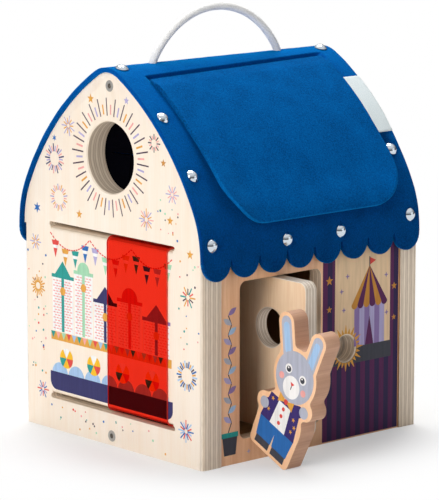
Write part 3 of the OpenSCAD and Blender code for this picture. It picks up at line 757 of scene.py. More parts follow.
stud_spots = []
for side in (1, -1):
    stud_spots += [(felt_mid + x, side, a) for x in (-STUD_X, STUD_X) for a in GABLE_STUD_ANGLES]
    stud_spots += [(felt_mid + x, side, EAVE_STUD_ANGLE) for x in (-EAVE_STUD_X, EAVE_STUD_X)]
stud_spots += [(felt_mid + x, 1, RIDGE_STUD_ANGLE) for x in (-STUD_X, STUD_X)]
print("columns, rows and studs:", len(roof_columns), len(straight_rows), len(stud_spots))

# %% [markdown]
# The sheet's two faces are given as heights over the arch. Noise makes the outer one uneven, the
# groove and the dimples press it down, and along the hems both faces swing out together.

# %% Roof sheet
HEM_FLARE, FLARE_ABOVE, FLARE_RUN, SWAY_RUN = 1.3, 7, 22, 14
DIMPLE_R, DIMPLE_DEPTH = 5.0, 0.5
GROOVE_EDGE, SEAM_EDGE = 1.2, 2.5
LUMPS = ((9, 0.12), (3, 0.08))


def felt_lumps(x, s):
    """Small smooth unevenness of pressed felt, in millimetres."""
    return sum(amount * noise.noise(Vector((x / size, s / size, 3.7))) for size, amount in LUMPS)


def ease_in(value):
    """Smooth step from 0 to 1."""
    t = min(max(value, 0.0), 1.0)
    return t * t * (3 - 2 * t)


def hem_s(x):
    """Distance along the arch from the ridge to the scalloped edge."""
    offset = abs((x - FELT_X0) % pitch - pitch / 2)
    drop = SCALLOP_R - math.sqrt(max(SCALLOP_R ** 2 - offset ** 2, 0))
    if offset > (SCALLOP_R + pitch / 2) / 2 and FELT_X0 + pitch / 2 < x < FELT_X1 - pitch / 2:
        drop = NOTCH
    return EAVE_S + EAVE_Z - (HEM_Z + RIM + drop)


def roof_rows(x):
    """Places along the arch for one column, from the back hem to the front hem."""
    last = straight_rows[-1]
    hem = [last + (hem_s(x) - last) * k / HEM_ROWS for k in range(1, HEM_ROWS + 1)]
    first = -straight_rows[0]
    back_hem = [-(first + (hem_s(x) - first) * k / HEM_ROWS) for k in range(HEM_ROWS, 0, -1)]
    return back_hem + straight_rows + hem


def hem_flare(x, s):
    """How far a hem stands off the wall, a little more at some scallops than at others."""
    below = max(0.0, (abs(s) - EAVE_S + FLARE_ABOVE) / FLARE_RUN)
    sway = 1 + 0.5 * noise.noise(Vector((x / SWAY_RUN, math.copysign(4, s), 0.3)))
    return HEM_FLARE * sway * below ** 2


def roof_outer(x, s):
    """Height of the felt's outer face, with the groove and the dimples pressed in."""
    pressed = 0.0
    if abs(x) < FLAP_HALF_W + 1:
        sewn_s = s + FLAP_SKEW * x
        beyond_seam = ease_in((sewn_s - FLAP_S0) / SEAM_EDGE)
        pressed = GROOVE_DEPTH * ease_in((sewn_s - GROOVE_S) / GROOVE_EDGE) * (1 - beyond_seam)
    for spot_x, side, angle in stud_spots:
        if abs(x - spot_x) < 3 * DIMPLE_R:
            away = (x - spot_x) ** 2 + (s - side * s_at_angle(angle)) ** 2
            pressed += DIMPLE_DEPTH * math.exp(-away / DIMPLE_R ** 2)
    return FELT_OUT - 0.1 + felt_lumps(x, s) - pressed + hem_flare(x, s)


def roof_inner(x, s):
    """Height of the felt's inner face."""
    return FELT_IN + hem_flare(x, s)


roof_sheet = thick_sheet(roof_columns, roof_rows, roof_outer, roof_inner, RIM * MM)
roof = piece_from("felt_roof", *roof_sheet, "house", [blue_felt])
print("roof faces before the cut:", len(roof.data.polygons))

# %% [markdown]
# Under the flap there is an opening for a hand. A boolean cut takes it out of the finished sheet,
# and the cutter is thrown away.

# %% Cut the hand opening
HATCH_W, HATCH_Z0, HATCH_Z1, HATCH_R, HATCH_STEPS = 110, 160, 212, 14, 8
CUT_FROM, CUT_TO = -110, 0


def rounded_outline(w, z0, z1, r):
    """Rectangle with round corners."""
    corners = (
        (w / 2 - r, z1 - r, 0), (r - w / 2, z1 - r, 90), (r - w / 2, z0 + r, 180), (w / 2 - r, z0 + r, 270),
    )
    return [
        Vector((cx, cz)) + r * toward(a + 90 * k / HATCH_STEPS)
        for cx, cz, a in corners for k in range(HATCH_STEPS + 1)
    ]


outline = rounded_outline(HATCH_W, HATCH_Z0, HATCH_Z1, HATCH_R)
count = len(outline)
cut_verts = [Vector((p.x, y, p.y)) * MM for y in (CUT_FROM, CUT_TO) for p in outline]
cut_faces = [tuple(range(count)), tuple(range(2 * count - 1, count - 1, -1))]
cut_faces += [(k, k + count, (k + 1) % count + count, (k + 1) % count) for k in range(count)]
cutter = piece_from("hatch_cutter", cut_verts, cut_faces, "house")
cut = roof.modifiers.new("hatch", "BOOLEAN")
cut.object, cut.operation, cut.solver = cutter, "DIFFERENCE", "EXACT"
bpy.context.view_layer.update()
shown = roof.evaluated_get(bpy.context.evaluated_depsgraph_get())
cut_mesh = bpy.data.meshes.new_from_object(shown)
roof.modifiers.clear()
roof.data = cut_mesh
bpy.data.objects.remove(cutter)
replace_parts(roof, "roof_felt")
print("roof faces:", len(roof.data.polygons))

# %% [markdown]
# ## Flap and label
# The flap is a second piece of felt, sewn along its top edge over the hand opening, by hand and so a little
# askew. Its free edges curl off the roof, most at the lower corners.

# %% Flap
FLAP_IN, FLAP_OUT, FLAP_Z, FLAP_R = 3.4, 6.4, 145.5, 27
FLAP_RIM, FLAP_ROWS, FLAT_COLUMNS, CORNER_COLUMNS = 0.7, 52, 40, 12
SEAM_DEPTH, SEAM_RUN, BEND_FROM, BEND_TO = 1.9, 9, 2, 16
LEFT_CURL, RIGHT_CURL, LOWER_CURL, WAVE, WAVE_RUN = 5.0, 3.0, 2.8, 0.5, 28
FLAP_S1 = EAVE_S - SHOULDER_R * math.asin((FLAP_Z - EAVE_Z) / (SHOULDER_R + FLAP_OUT)) - FLAP_RIM

flat_half = FLAP_HALF_W - FLAP_RIM - FLAP_R
corner_turns = [math.radians(90 * k / CORNER_COLUMNS) for k in range(CORNER_COLUMNS + 1)]
flap_columns = [-flat_half - FLAP_R * math.cos(turn) for turn in corner_turns[:-1]]
flap_columns += [-flat_half + 2 * flat_half * k / FLAT_COLUMNS for k in range(FLAT_COLUMNS + 1)]
flap_columns += [flat_half + FLAP_R * math.sin(turn) for turn in corner_turns[1:]]


def flap_rows(x):
    """Places along the arch for one column, from the seam to the rounded lower edge."""
    beyond = max(0.0, abs(x) - flat_half)
    lift = FLAP_R - math.sqrt(max(FLAP_R ** 2 - beyond ** 2, 0))
    last = FLAP_S1 - lift
    return [FLAP_S0 + (last - FLAP_S0) * k / FLAP_ROWS for k in range(FLAP_ROWS + 1)]


def flap_point(x, s, out):
    """Place of a spot of the flap, which is sewn a little askew along its top edge."""
    below = (s - FLAP_S0) / (FLAP_S1 - FLAP_S0)
    middle_s = (FLAP_S0 + FLAP_S1) / 2
    return roof_point(x + FLAP_SKEW * (s - middle_s), s - FLAP_SKEW * x * (1 - below), out)


def flap_curl(x, s):
    """How far the flap stands off the roof, most at the lower left corner."""
    free = ease_in((s - FLAP_S0 - 6) / 60)
    left = LEFT_CURL * ease_in((-x - 48) / 25) * ease_in((s - FLAP_S0 - 35) / 65)
    side = RIGHT_CURL * ease_in((x - 50) / 23) * ease_in((s - FLAP_S0 - 55) / 45)
    lower = LOWER_CURL * ease_in((s - FLAP_S1 + 26) / 26)
    wave = WAVE * free * noise.noise(Vector((x / WAVE_RUN, s / WAVE_RUN, 9.1)))
    return left + side + lower + max(wave, -0.2)


def flap_outer(x, s):
    """Height of the flap's outer face, drawn down at the seam."""
    sewn = SEAM_DEPTH * (1 - ease_in((s - FLAP_S0) / SEAM_RUN))
    return FLAP_OUT + felt_lumps(x, s) + flap_curl(x, s) - sewn


def flap_inner(x, s):
    """Height of the flap's inner face."""
    return FLAP_IN + flap_curl(x, s)


flap_sheet = thick_sheet(flap_columns, flap_rows, flap_outer, flap_inner, FLAP_RIM * MM, flap_point)
flap = piece_from("felt_flap", *flap_sheet, None, [flap_felt, cut_edge_light_and_shade])
# The rim faces get the cut-edge felt, with its painted highlight and painted shade.
for face in flap.data.polygons[2 * (len(flap_columns) - 1) * FLAP_ROWS:]:
    face.material_index = 1
bend_start, bend_end = (roof_point(0, FLAP_S0 + below, FLAP_IN) for below in (BEND_FROM, BEND_TO))
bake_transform(flap)
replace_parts(flap, "roof_flap")
print("flap faces:", len(flap.data.polygons))

# %% [markdown]
# A plain woven label is sewn into the flap's right edge. It is a ribbon, so fine bands of two pale
# tones stand for its threads, and it bows a little between its ends.

# %% Label
LABEL_W, LABEL_T, LABEL_BOW, LABEL_RIM, LABEL_TUCK = 12, 0.7, 0.5, 0.2, 3.2
LABEL_S0, LABEL_S1 = s_at_angle(51), s_at_angle(37)
LABEL_COLUMNS, LABEL_ROWS = 12, 30

ribbon, shader = finish_of("woven_ribbon", roughness=0.55, sheen_weight=0.2)
warp = wire(ribbon, "ShaderNodeTexWave", {
    "Vector": own_place(ribbon), "Scale": 900.0, "Distortion": 0.5,
}, bands_direction="X").outputs["Fac"]
link_to(ribbon, shader, "Base Color", ramp(ribbon, warp, [(0.0, srgb("cfdde0")), (1.0, srgb("ecf3f4"))]))
relief(ribbon, shader, warp, 0.1 * MM, 0.5)

label_run = LABEL_W + LABEL_TUCK - LABEL_RIM
label_columns = [
    FLAP_HALF_W - LABEL_TUCK + label_run * k / LABEL_COLUMNS for k in range(LABEL_COLUMNS + 1)
]
label_rows = [LABEL_S0 + (LABEL_S1 - LABEL_S0) * k / LABEL_ROWS for k in range(LABEL_ROWS + 1)]


def label_outer(x, s):
    """Height of the label's outer face, which follows the flap's edge."""
    out = ease_in((x - FLAP_HALF_W) / LABEL_W)
    bow = LABEL_BOW * out * math.sin(math.pi * (s - LABEL_S0) / (LABEL_S1 - LABEL_S0))
    return FLAP_OUT - 0.1 + flap_curl(FLAP_HALF_W, s) + bow


label_sheet = thick_sheet(
    label_columns, lambda x: label_rows,
    label_outer, lambda x, s: label_outer(x, s) - LABEL_T, LABEL_RIM * MM,
)
tag = piece_from("side_label", *label_sheet, "flap", [ribbon])
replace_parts(tag, "flap_label")
print("label faces:", len(tag.data.polygons))

# %% [markdown]
# The size that each cloth piece was cut to is worked out here. The mesh has two faces, so half its area,
# less the thin rim, is what the flat cut measures. The roof's cut leaves out the hand opening, which is
# longer along the slope than it is high.

def cut_area(columns, rows_at):
    """Area between a sheet's columns and rows, in square metres."""
    spans = [rows_at(x)[-1] - rows_at(x)[0] for x in columns]
    strips = [(b - a) * (u + v) / 2 for a, b, u, v in zip(columns, columns[1:], spans, spans[1:])]
    return sum(strips) * MM * MM


SLOPE_SHARE, CURL_SHARE = 1.2, 0.99
hatch_area = SLOPE_SHARE * HATCH_W * (HATCH_Z1 - HATCH_Z0) * MM * MM
cut_area(roof_columns, roof_rows) - hatch_area
CURL_SHARE * cut_area(flap_columns, flap_rows)
print("roof cut in mm:", round(FELT_X1 - FELT_X0), round(2 * (EAVE_S + EAVE_Z - HEM_Z)))

# %% [markdown]
# ## Window curtain
# Behind the round window hangs a black felt curtain, slit crosswise so that a hand can push in.
# Its four leaves share a whole outer ring and bend in a little towards their tips.

# %% Curtain
CURTAIN_R, SLIT_R, SLIT_HALF, CURTAIN_T, CURTAIN_SAG = 27, 18, 0.45, 1.5, 2.5
SLIT_END, LEAF_STEPS, CURTAIN_GAP = 4, 16, 0.02
curtain_lo, curtain_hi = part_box("window_curtain")
WINDOW_Z = (curtain_lo.z + curtain_hi.z) / 2 / MM
CURTAIN_X = curtain_lo.x / MM
rings = [0.9, 2, 4, 6, 8, 10, 12, 14, 16, SLIT_R, 21, 24, 26, CURTAIN_R]


def curtain_spot(r, degrees):
    """Point of the curtain's front, which sags inwards near its middle."""
    sag = CURTAIN_SAG * max(0, 1 - r / SLIT_R) ** 1.5
    c, s = math.cos(math.radians(degrees)), math.sin(math.radians(degrees))
    return Vector((CURTAIN_X + CURTAIN_GAP + sag, r * c, WINDOW_Z + r * s)) * MM


shape = bmesh.new()
for quarter in range(4):
    rows = []
    for r in rings:
        slit = math.degrees(math.asin(min(SLIT_HALF / r, 1))) * ease_in((SLIT_R - r) / SLIT_END)
        turns = [90 * quarter + slit + (90 - 2 * slit) * k / LEAF_STEPS for k in range(LEAF_STEPS + 1)]
        rows.append([shape.verts.new(curtain_spot(r, turn)) for turn in turns])
    for low, high in zip(rows, rows[1:]):
        for k in range(LEAF_STEPS):
            shape.faces.new((low[k], high[k], high[k + 1], low[k + 1]))
bmesh.ops.remove_doubles(shape, verts=shape.verts, dist=0.01 * MM)
bmesh.ops.recalc_face_normals(shape, faces=shape.faces)
if sum(f.normal.x for f in shape.faces) > 0:
    bmesh.ops.reverse_faces(shape, faces=shape.faces)
curtain = piece_of("slit_curtain", shape, "house", [black_felt])
thick = curtain.modifiers.new("thickness", "SOLIDIFY")
thick.thickness, thick.offset = (CURTAIN_T - 2 * CURTAIN_GAP) * MM, -1
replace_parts(curtain, "window_curtain")
print("curtain faces:", len(curtain.data.polygons))

# %% [markdown]
# ## Metal, mirror and film
# The bolts and pins are plain zinc, the peep hole's mirror is silvered, and the door turns on a nylon
# washer. Their CAD solids are good as they are, so they only get a finish: a metal whose roughness
# varies a little looks handled, where an even one looks drawn.

# %% Metals and small hard parts
def metal(name, colour, roughness):
    """Metal that is a little smoother in some places than in others."""
    mat, shader = finish_of(name, metallic=1.0, base_color=colour)
    link_to(mat, shader, "Roughness", spread(mat, speckle(mat, 1500), roughness * 0.7, roughness * 1.4))
    return mat


chrome = metal("polished_nickel", (0.62, 0.68, 0.74, 1), 0.1)
zinc = metal("zinc_plate", (0.44, 0.42, 0.39, 1), 0.32)
silvered = metal("mirror_silver", (0.8, 0.81, 0.83, 1), 0.04)
nylon, shader = finish_of("nylon", roughness=0.5)
mottled(nylon, shader, 700, "e0dccf", "f0ece2")
dowel_wood = birch_face("dowel_birch", "e3c49b", "cfa878", along=0)

KEPT = {
    chrome: ("curtain_tacks",),
    zinc: ("bolts_left", "bolts_right", "door_pin_top", "door_pin_bottom"),
    silvered: ("peep_mirror",),
    nylon: ("door_washer",),
    dowel_wood: ("wall_dowels_front", "wall_dowels_back"),
}
for mat, names in KEPT.items():
    for name in names:
        nodes[name].data.materials.clear()
        nodes[name].data.materials.append(mat)
print("kept CAD nodes:", sum(len(names) for names in KEPT.values()))

# %% [markdown]
# The filter is a clear red sheet, bent at both ends. Glass in Blender blocks lamp light and would
# leave the print behind it dark, so lamp rays pass the film as tinted light. Its cut edges look solid
# red, as the edges of clear plastic do.

# %% Red film
FILM_CREASE = math.radians(30)

red_film, shader = finish_of(
    "red_film", base_color=(0.93, 0.13, 0.1, 1), roughness=0.04, transmission_weight=1.0, ior=1.03,
)
rays = wire(red_film, "ShaderNodeLightPath").outputs
lamp_rays = reckon(red_film, "MAXIMUM", rays["Is Shadow Ray"], rays["Is Diffuse Ray"])
tinted = wire(red_film, "ShaderNodeBsdfTransparent", {"Color": (0.95, 0.5, 0.4, 1)})
mix_surface(red_film, lamp_rays, shader.outputs["BSDF"], tinted.outputs["BSDF"])
film_edge, shader = finish_of("film_edge", roughness=0.3)
mottled(film_edge, shader, 300, "cf2a1e", "e6412e")

shape = welded("red_filter")
for face in shape.faces:
    face.material_index = 1 if abs(face.normal.y) > 0.9 else 0
    face.smooth = True
bent_film = piece_of("bent_film", shape, "filter", [red_film, film_edge])
bent_film.data.set_sharp_from_angle(angle=FILM_CREASE)
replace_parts(bent_film, "red_filter")
print("film faces:", len(bent_film.data.polygons))

# %% [markdown]
# The roof studs are domed nails with a polished head. A scaled sphere would meet the felt at the
# wrong angle, so a profile of shank, rim and dome is turned round each nail's own axis, as on a
# lathe.

# %% Turn the studs
STUD_R, STUD_H, SHANK_R, SHANK, STUD_SIDES, DOME_STEPS = 4.0, 2.2, 0.8, 8.5, 32, 14
STUD_CREASE = math.radians(40)
ball_r = (STUD_R ** 2 + STUD_H ** 2) / (2 * STUD_H)
rim_angle = math.degrees(math.asin(STUD_R / ball_r))
stud_profile = [
    (SHANK_R * 0.5, -SHANK), (SHANK_R, -SHANK + 0.4), (SHANK_R, 0.0), (STUD_R - 0.2, 0.0), (STUD_R, 0.12),
]
for k in range(1, DOME_STEPS):
    p = toward(90 - rim_angle * 0.97 * (1 - k / DOME_STEPS))
    stud_profile.append((ball_r * p.x, STUD_H - ball_r + ball_r * p.y))


def turned_studs(name, spots):
    """Lathe-turned nails, each at a place along the ridge, a side and an angle of the arch."""
    verts, faces = [], []
    ridgeward = Vector((1, 0, 0))
    for x, side, angle in spots:
        foot = roof_point(x, side * s_at_angle(angle), FELT_OUT)
        normal = toward(angle)
        out = Vector((0, -side * normal.x, normal.y))
        across = out.cross(ridgeward)
        start = len(verts)
        for r, h in stud_profile:
            for k in range(STUD_SIDES):
                t = toward(360 * k / STUD_SIDES)
                verts.append(foot + (h * out + r * t.x * ridgeward + r * t.y * across) * MM)
        verts.append(foot - SHANK * MM * out)
        verts.append(foot + STUD_H * MM * out)
        for row in range(len(stud_profile) - 1):
            a, b = start + row * STUD_SIDES, start + (row + 1) * STUD_SIDES
            for k in range(STUD_SIDES):
                n = (k + 1) % STUD_SIDES
                faces.append((a + k, b + k, b + n, a + n))
        top = start + (len(stud_profile) - 1) * STUD_SIDES
        for k in range(STUD_SIDES):
            n = (k + 1) % STUD_SIDES
            faces.append((start + k, start + n, len(verts) - 2))
            faces.append((top + n, top + k, len(verts) - 1))
    made = piece_from(name, verts, faces, "house", [chrome])
    made.data.set_sharp_from_angle(angle=STUD_CREASE)
    return made


for name, node, wanted in (
    ("studs_window_side", "gable_studs_left", lambda x, side, a: x < -STUD_X / 2),
    ("studs_far_side", "gable_studs_right", lambda x, side, a: x > STUD_X / 2),
    ("studs_front_eave", "eave_studs_front", lambda x, side, a: abs(x) < STUD_X / 2 and side > 0),
    ("studs_back_eave", "eave_studs_back", lambda x, side, a: abs(x) < STUD_X / 2 and side < 0),
):
    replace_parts(turned_studs(name, [s for s in stud_spots if wanted(*s)]), node)
print("studs:", len(stud_spots))

# %% [markdown]
# ## Printed decoration
# The boards are printed in flat inks before they are cut. Each motif is a simple outline, laid on
# its board as a film of ink a few hundredths of a millimetre thick, so the edges stay crisp from any
# distance and the print moves with its board. All motifs are plain ornaments: rays, bursts, stars,
# pennants, towers, balls and stripes.

# %% Inks
INK_CODES = {
    "plum": "54404f", "pink": "f0a9a2", "lavender": "b3aad2", "ochre": "e3a549", "coral": "df4f48",
    "teal": "2f9b93", "mint": "a5d8b3", "navy": "3a3968", "sky": "a6c6e8", "yellow": "f6be2c",
    "blue": "2f6db4", "grey": "b4b7c6", "white": "f6f4f2", "slate": "45464f", "maroon": "5c2856",
    "midnight": "34274e", "cream": "edcda6", "lilac": "9079ae", "amber": "c98b3c", "violet": "3f3170",
}
WORN = 0.86


def ink(name):
    """Flat ink through which a little of the grain shows."""
    mat, shader = finish_of(f"ink_{name}", roughness=0.6, specular_ior_level=0.15)
    grain = speckle(mat, 500, (1, 1, 0.08), 4)
    colour = srgb(INK_CODES[name])
    worn = tuple(c * WORN for c in colour[:3]) + (1,)
    link_to(mat, shader, "Base Color", ramp(mat, grain, [(0.32, worn), (0.6, colour)]))
    return mat


inks = {name: ink(name) for name in INK_CODES}
print("inks:", len(inks))

# %% Ink films on a board
INK_BASE, INK_FILM = 0.005, 0.03


class PrintedFace:
    """Collects ink outlines on one face of a board and builds them as one piece."""

    def __init__(self, name, body, place):
        self.name, self.body, self.place = name, body, place
        self.shape = bmesh.new()
        self.used = []

    def add(self, colour, outline, layer=1):
        """Lays one outline on the board; a higher layer covers a lower one."""
        if colour not in self.used:
            self.used.append(colour)
        levels = (INK_BASE, INK_BASE + INK_FILM * layer)
        low, high = ([self.shape.verts.new(self.place(u, v, h) * MM) for u, v in outline] for h in levels)
        count = len(outline)
        made = [self.shape.faces.new(low[::-1]), self.shape.faces.new(high)]
        made += [
            self.shape.faces.new((low[k], low[(k + 1) % count], high[(k + 1) % count], high[k]))
            for k in range(count)
        ]
        for face in made:
            face.material_index = self.used.index(colour)

    def build(self):
        """Makes the piece."""
        bmesh.ops.recalc_face_normals(self.shape, faces=self.shape.faces)
        return piece_of(self.name, self.shape, self.body, [inks[colour] for colour in self.used])


print("thinnest ink film in mm:", INK_FILM)


# %% Outlines
def disc(u, v, r, sides=20):
    """Whole circle."""
    turns = [2 * math.pi * k / sides for k in range(sides)]
    return [(u + r * math.cos(turn), v + r * math.sin(turn)) for turn in turns]


def arc_of(u, v, r, start, stop, steps=14):
    """Part of a circle between two angles, closed by its chord."""
    turns = [math.radians(start + (stop - start) * k / steps) for k in range(steps + 1)]
    return [(u + r * math.cos(turn), v + r * math.sin(turn)) for turn in turns]


def star(u, v, r, tips=5, waist=0.42):
    """Star with one tip up; a smaller waist makes it more pointed."""
    spots = []
    for k in range(2 * tips):
        reach = r if k % 2 == 0 else r * waist
        p = toward(90 + 180 * k / tips)
        spots.append((u + reach * p.x, v + reach * p.y))
    return spots


def stroke(a, b, w, taper=1.0):
    """Straight pen stroke from a to b, w wide at a and w times taper at b."""
    run = Vector((b[0] - a[0], b[1] - a[1]))
    side = Vector((-run.y, run.x)).normalized() * w / 2
    return [
        (a[0] + side.x, a[1] + side.y), (a[0] - side.x, a[1] - side.y),
        (b[0] - side.x * taper, b[1] - side.y * taper), (b[0] + side.x * taper, b[1] + side.y * taper),
    ]


def spoke(u, v, degrees, near, far, w, taper=1.0):
    """Stroke that points away from a middle."""
    p = toward(degrees)
    return stroke((u + near * p.x, v + near * p.y), (u + far * p.x, v + far * p.y), w, taper)


def box_of(u0, v0, u1, v1):
    """Upright rectangle between two corners."""
    return [(u0, v0), (u1, v0), (u1, v1), (u0, v1)]


print("points of a star:", len(star(0, 0, 1)))

# %% [markdown]
# The window gable is the busiest face. Rays circle the window, and small bursts and stars fill the
# slope. Places are given as depth and height in millimetres; the front edge of the gable is at a
# depth of -85.

# %% Rays, bursts and stars on the window gable
GABLE_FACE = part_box("gable_left")[0].x / MM
gable_print = PrintedFace("gable_print", "house", lambda u, v, h: Vector((GABLE_FACE - h, u, v)))

RAYS, RAY_TURN, SHORT_SHARE = 52, 2, 0.72
LONG_RAY, SHORT_RAY = (25.6, 36.5, 0.9), (26.4, 32.5, 1.2)
for k in range(RAYS):
    long = k % 2 == 0
    colour = "plum" if long else ("pink", "lavender", "ochre")[k // 2 % 3]
    ray = spoke(0, WINDOW_Z, 360 * k / RAYS + RAY_TURN, *(LONG_RAY if long else SHORT_RAY))
    gable_print.add(colour, ray)

BURSTS = [
    (40, 195, 1.2, 6.5, 14, 0.7, ("lavender", "ochre")),
    (54, 173, 4.5, 9.5, 26, 0.9, ("navy", "lavender", "pink")),
    (50, 149, 4.8, 8.6, 26, 0.8, ("lavender", "pink", "ochre")),
    (-41.5, 193, 2.4, 5.6, 16, 0.8, ("plum", "pink")),
    (-58, 164, 1.2, 6.0, 12, 0.7, ("lavender", "pink")),
    (-34, 146, 1.5, 6.8, 16, 0.7, ("lavender", "ochre", "pink")),
    (72, 90, 2.2, 7.2, 18, 1.0, ("ochre",)),
    (74, 118, 1.0, 5.5, 12, 0.7, ("lavender", "ochre")),
    (-72, 104, 1.6, 6.8, 12, 0.9, ("teal", "coral", "ochre", "plum")),
    (-71, 56, 5.0, 9.4, 28, 1.0, ("blue", "ochre", "sky", "plum")),
    (68, 24, 1.2, 5.8, 12, 0.8, ("coral", "lavender", "blue")),
    (-70, 22, 1.4, 7.0, 16, 0.9, ("sky", "coral", "blue")),
]
for u, v, near, far, spokes, w, colours in BURSTS:
    for k in range(spokes):
        reach = far if k % 2 == 0 else near + SHORT_SHARE * (far - near)
        gable_print.add(colours[k % len(colours)], spoke(u, v, 360 * k / spokes, near, reach, w))

STARS = [
    (18, 214, 3.2, "ochre"), (-16, 216, 2.6, "lavender"), (-56, 148, 3.0, "ochre"), (30, 141, 3.0, "ochre"),
    (72, 140, 3.6, "blue"), (-74, 130, 3.2, "ochre"), (-50, 182, 2.6, "amber"), (54, 186, 2.2, "blue"),
]
for u, v, r, colour in STARS:
    gable_print.add(colour, star(u, v, r, 6 if colour == "blue" else 5))
print("rays, bursts and stars:", RAYS, len(BURSTS), len(STARS))

# %% [markdown]
# Between the two slots lies the panel that the red filter slides over. Pennants hang on a dashed
# string at its top. The string sags between its posts in a parabola, so that each pennant can ask
# for its height.

# %% Pennants
STRING_TOP, STRING_SAG, STRING_POSTS, STRING_W = 126, 9, (59, 20, -20, -59), 0.8
DASH, DASH_GAP = 1.6, 0.7
PENNANTS, PENNANT_FIRST, PENNANT_PITCH, PENNANT_HALF, PENNANT_DROP = 12, 54, 9.8, 3.6, 11
PENNANT_INKS = ("coral", "ochre", "teal", "blue", "lavender", "mint")


def string_at(u):
    """Height of the hanging string."""
    for a, b in zip(STRING_POSTS, STRING_POSTS[1:]):
        if b <= u <= a:
            t = (a - u) / (a - b)
            return STRING_TOP - 4 * STRING_SAG * t * (1 - t)
    return STRING_TOP


place = STRING_POSTS[0]
while place - DASH > STRING_POSTS[-1]:
    dash = stroke((place, string_at(place)), (place - DASH, string_at(place - DASH)), STRING_W)
    gable_print.add("coral", dash, 3)
    place -= DASH + DASH_GAP
for k in range(PENNANTS):
    u = PENNANT_FIRST - k * PENNANT_PITCH
    top = string_at(u) - 0.4
    colour = PENNANT_INKS[k % len(PENNANT_INKS)]
    gable_print.add(colour, [(u + PENNANT_HALF, top), (u, top - PENNANT_DROP), (u - PENNANT_HALF, top)])
    band = [(u + 2.6, top - 3), (u + 1.95, top - 5), (u - 1.95, top - 5), (u - 2.6, top - 3)]
    gable_print.add("white", band, 2)
print("pennants:", PENNANTS)

# %% [markdown]
# Under the pennants stand five brick towers. Real bricks overlap, so every second course starts half
# a brick further along.

# %% Towers
TOWERS = [
    (58, 36, 98, "teal", "spire"), (36, 17, 103, "mint", "dome"), (17, -6, 88, "navy", "spire"),
    (-6, -30, 92, "coral", "dome"), (-30, -56, 84, "lilac", "spire"),
]
TOWER_FOOT, EAVES, SPIRE, PILLAR_HALF, CLOCK_R, CLOCK_DROP = 64, 2.2, 11, 1.3, 2.6, 8
BRICK_W, BRICK_H, BRICK_PITCH, COURSE = 2.2, 0.75, 3.0, 1.7
for left, rightmost, top, roof_ink, kind in TOWERS:
    gable_print.add("white", box_of(rightmost + 0.6, TOWER_FOOT, left - 0.6, top))
    row = TOWER_FOOT + 1.2
    shift = 0
    while row < top - 0.8:
        u = left - 1.4 - shift
        while u - BRICK_W > rightmost + 1.2:
            gable_print.add("pink", box_of(u - BRICK_W, row, u, row + BRICK_H), 2)
            u -= BRICK_PITCH
        row += COURSE
        shift = BRICK_PITCH / 2 - shift
    middle, half = (left + rightmost) / 2, (left - rightmost) / 2
    eaves = top + EAVES
    gable_print.add(roof_ink, box_of(middle - PILLAR_HALF, TOWER_FOOT, middle + PILLAR_HALF, top), 3)
    gable_print.add(roof_ink, box_of(rightmost, top, left, eaves), 3)
    if kind == "spire":
        spire = [(middle + half * 0.7, eaves), (middle, top + SPIRE), (middle - half * 0.7, eaves)]
        gable_print.add(roof_ink, spire, 3)
    else:
        gable_print.add(roof_ink, arc_of(middle, eaves, half * 0.62, 0, 180), 3)
    gable_print.add("ochre", disc(middle, top - CLOCK_DROP, CLOCK_R), 4)
print("towers:", len(TOWERS))

# %% [markdown]
# Below the towers run a shelf with a toothed fringe and a tub of striped balls. The balls lie under
# the tub's ink, so the tub hides their lower halves and nothing has to be cut.

# %% Shelf, tub and balls
SHELF_V0, SHELF_V1, FRINGE_V, FRINGE_HALF = 58, 63.4, 59, 2.2
FRINGE_INKS = ("teal", "pink", "mint", "coral", "sky")
gable_print.add("ochre", box_of(-57, SHELF_V0, 59, SHELF_V1))
for k in range(22):
    u = 57 - k * 5.2
    tooth = [(u + FRINGE_HALF, SHELF_V1), (u, FRINGE_V), (u - FRINGE_HALF, SHELF_V1)]
    gable_print.add(FRINGE_INKS[k % len(FRINGE_INKS)], tooth, 2)

HUMPS, HUMP_R, BALL_V, BALL_R = 7, 8.0, 47.5, 6.4
for k in range(HUMPS):
    gable_print.add("sky", arc_of(50.5 - k * 16.2, 36, HUMP_R, 0, 180), 1)
for u in (44, 17, -11, -39):
    gable_print.add("yellow", disc(u, BALL_V, BALL_R, 28), 2)
    for colour, start in (("white", 60), ("coral", 180), ("teal", 300)):
        gable_print.add(colour, arc_of(u, BALL_V, BALL_R, start, start + 60) + [(u, BALL_V)], 3)
tub = arc_of(-52, 32, 6, 180, 270) + arc_of(54, 32, 6, 270, 360) + [(60, 37.5), (-58, 37.5)]
gable_print.add("navy", tub, 2)
print("outlines so far use inks:", len(gable_print.used))

# %% [markdown]
# Confetti fills the ground that is left. The dots are drawn at random from a fixed seed, so that the
# same dots come out on every run.

# %% Confetti
CONFETTI_SEED, BOLT_CLEAR = 11, 7
draw = random.Random(CONFETTI_SEED)
CONFETTI_INKS = ("teal", "ochre", "coral", "plum", "mint", "blue", "pink")
CONFETTI_FIELDS = [
    ((63, 82), (30, 112), 34), ((-82, -63), (68, 126), 16),
    ((-55, 60), (4, 17), 26), ((-64, -44), (136, 160), 14),
]
for (u0, u1), (v0, v1), dots in CONFETTI_FIELDS:
    for k in range(dots):
        spot = draw.uniform(u0, u1), draw.uniform(v0, v1)
        if Vector(spot).length > BOLT_CLEAR:
            dot = disc(*spot, draw.uniform(0.45, 0.85), 10)
            gable_print.add(CONFETTI_INKS[k % len(CONFETTI_INKS)], dot)
gable_print.build()
print("inks on the gable:", len(gable_print.used))

# %% [markdown]
# The front wall is plain wood beside the doorway. To the right of it hang maroon and midnight stripes
# like a stage curtain, round a pale panel over a dark table. Ink films never cross the peep hole, so
# the panel's and the table's outlines run round it in half circles.

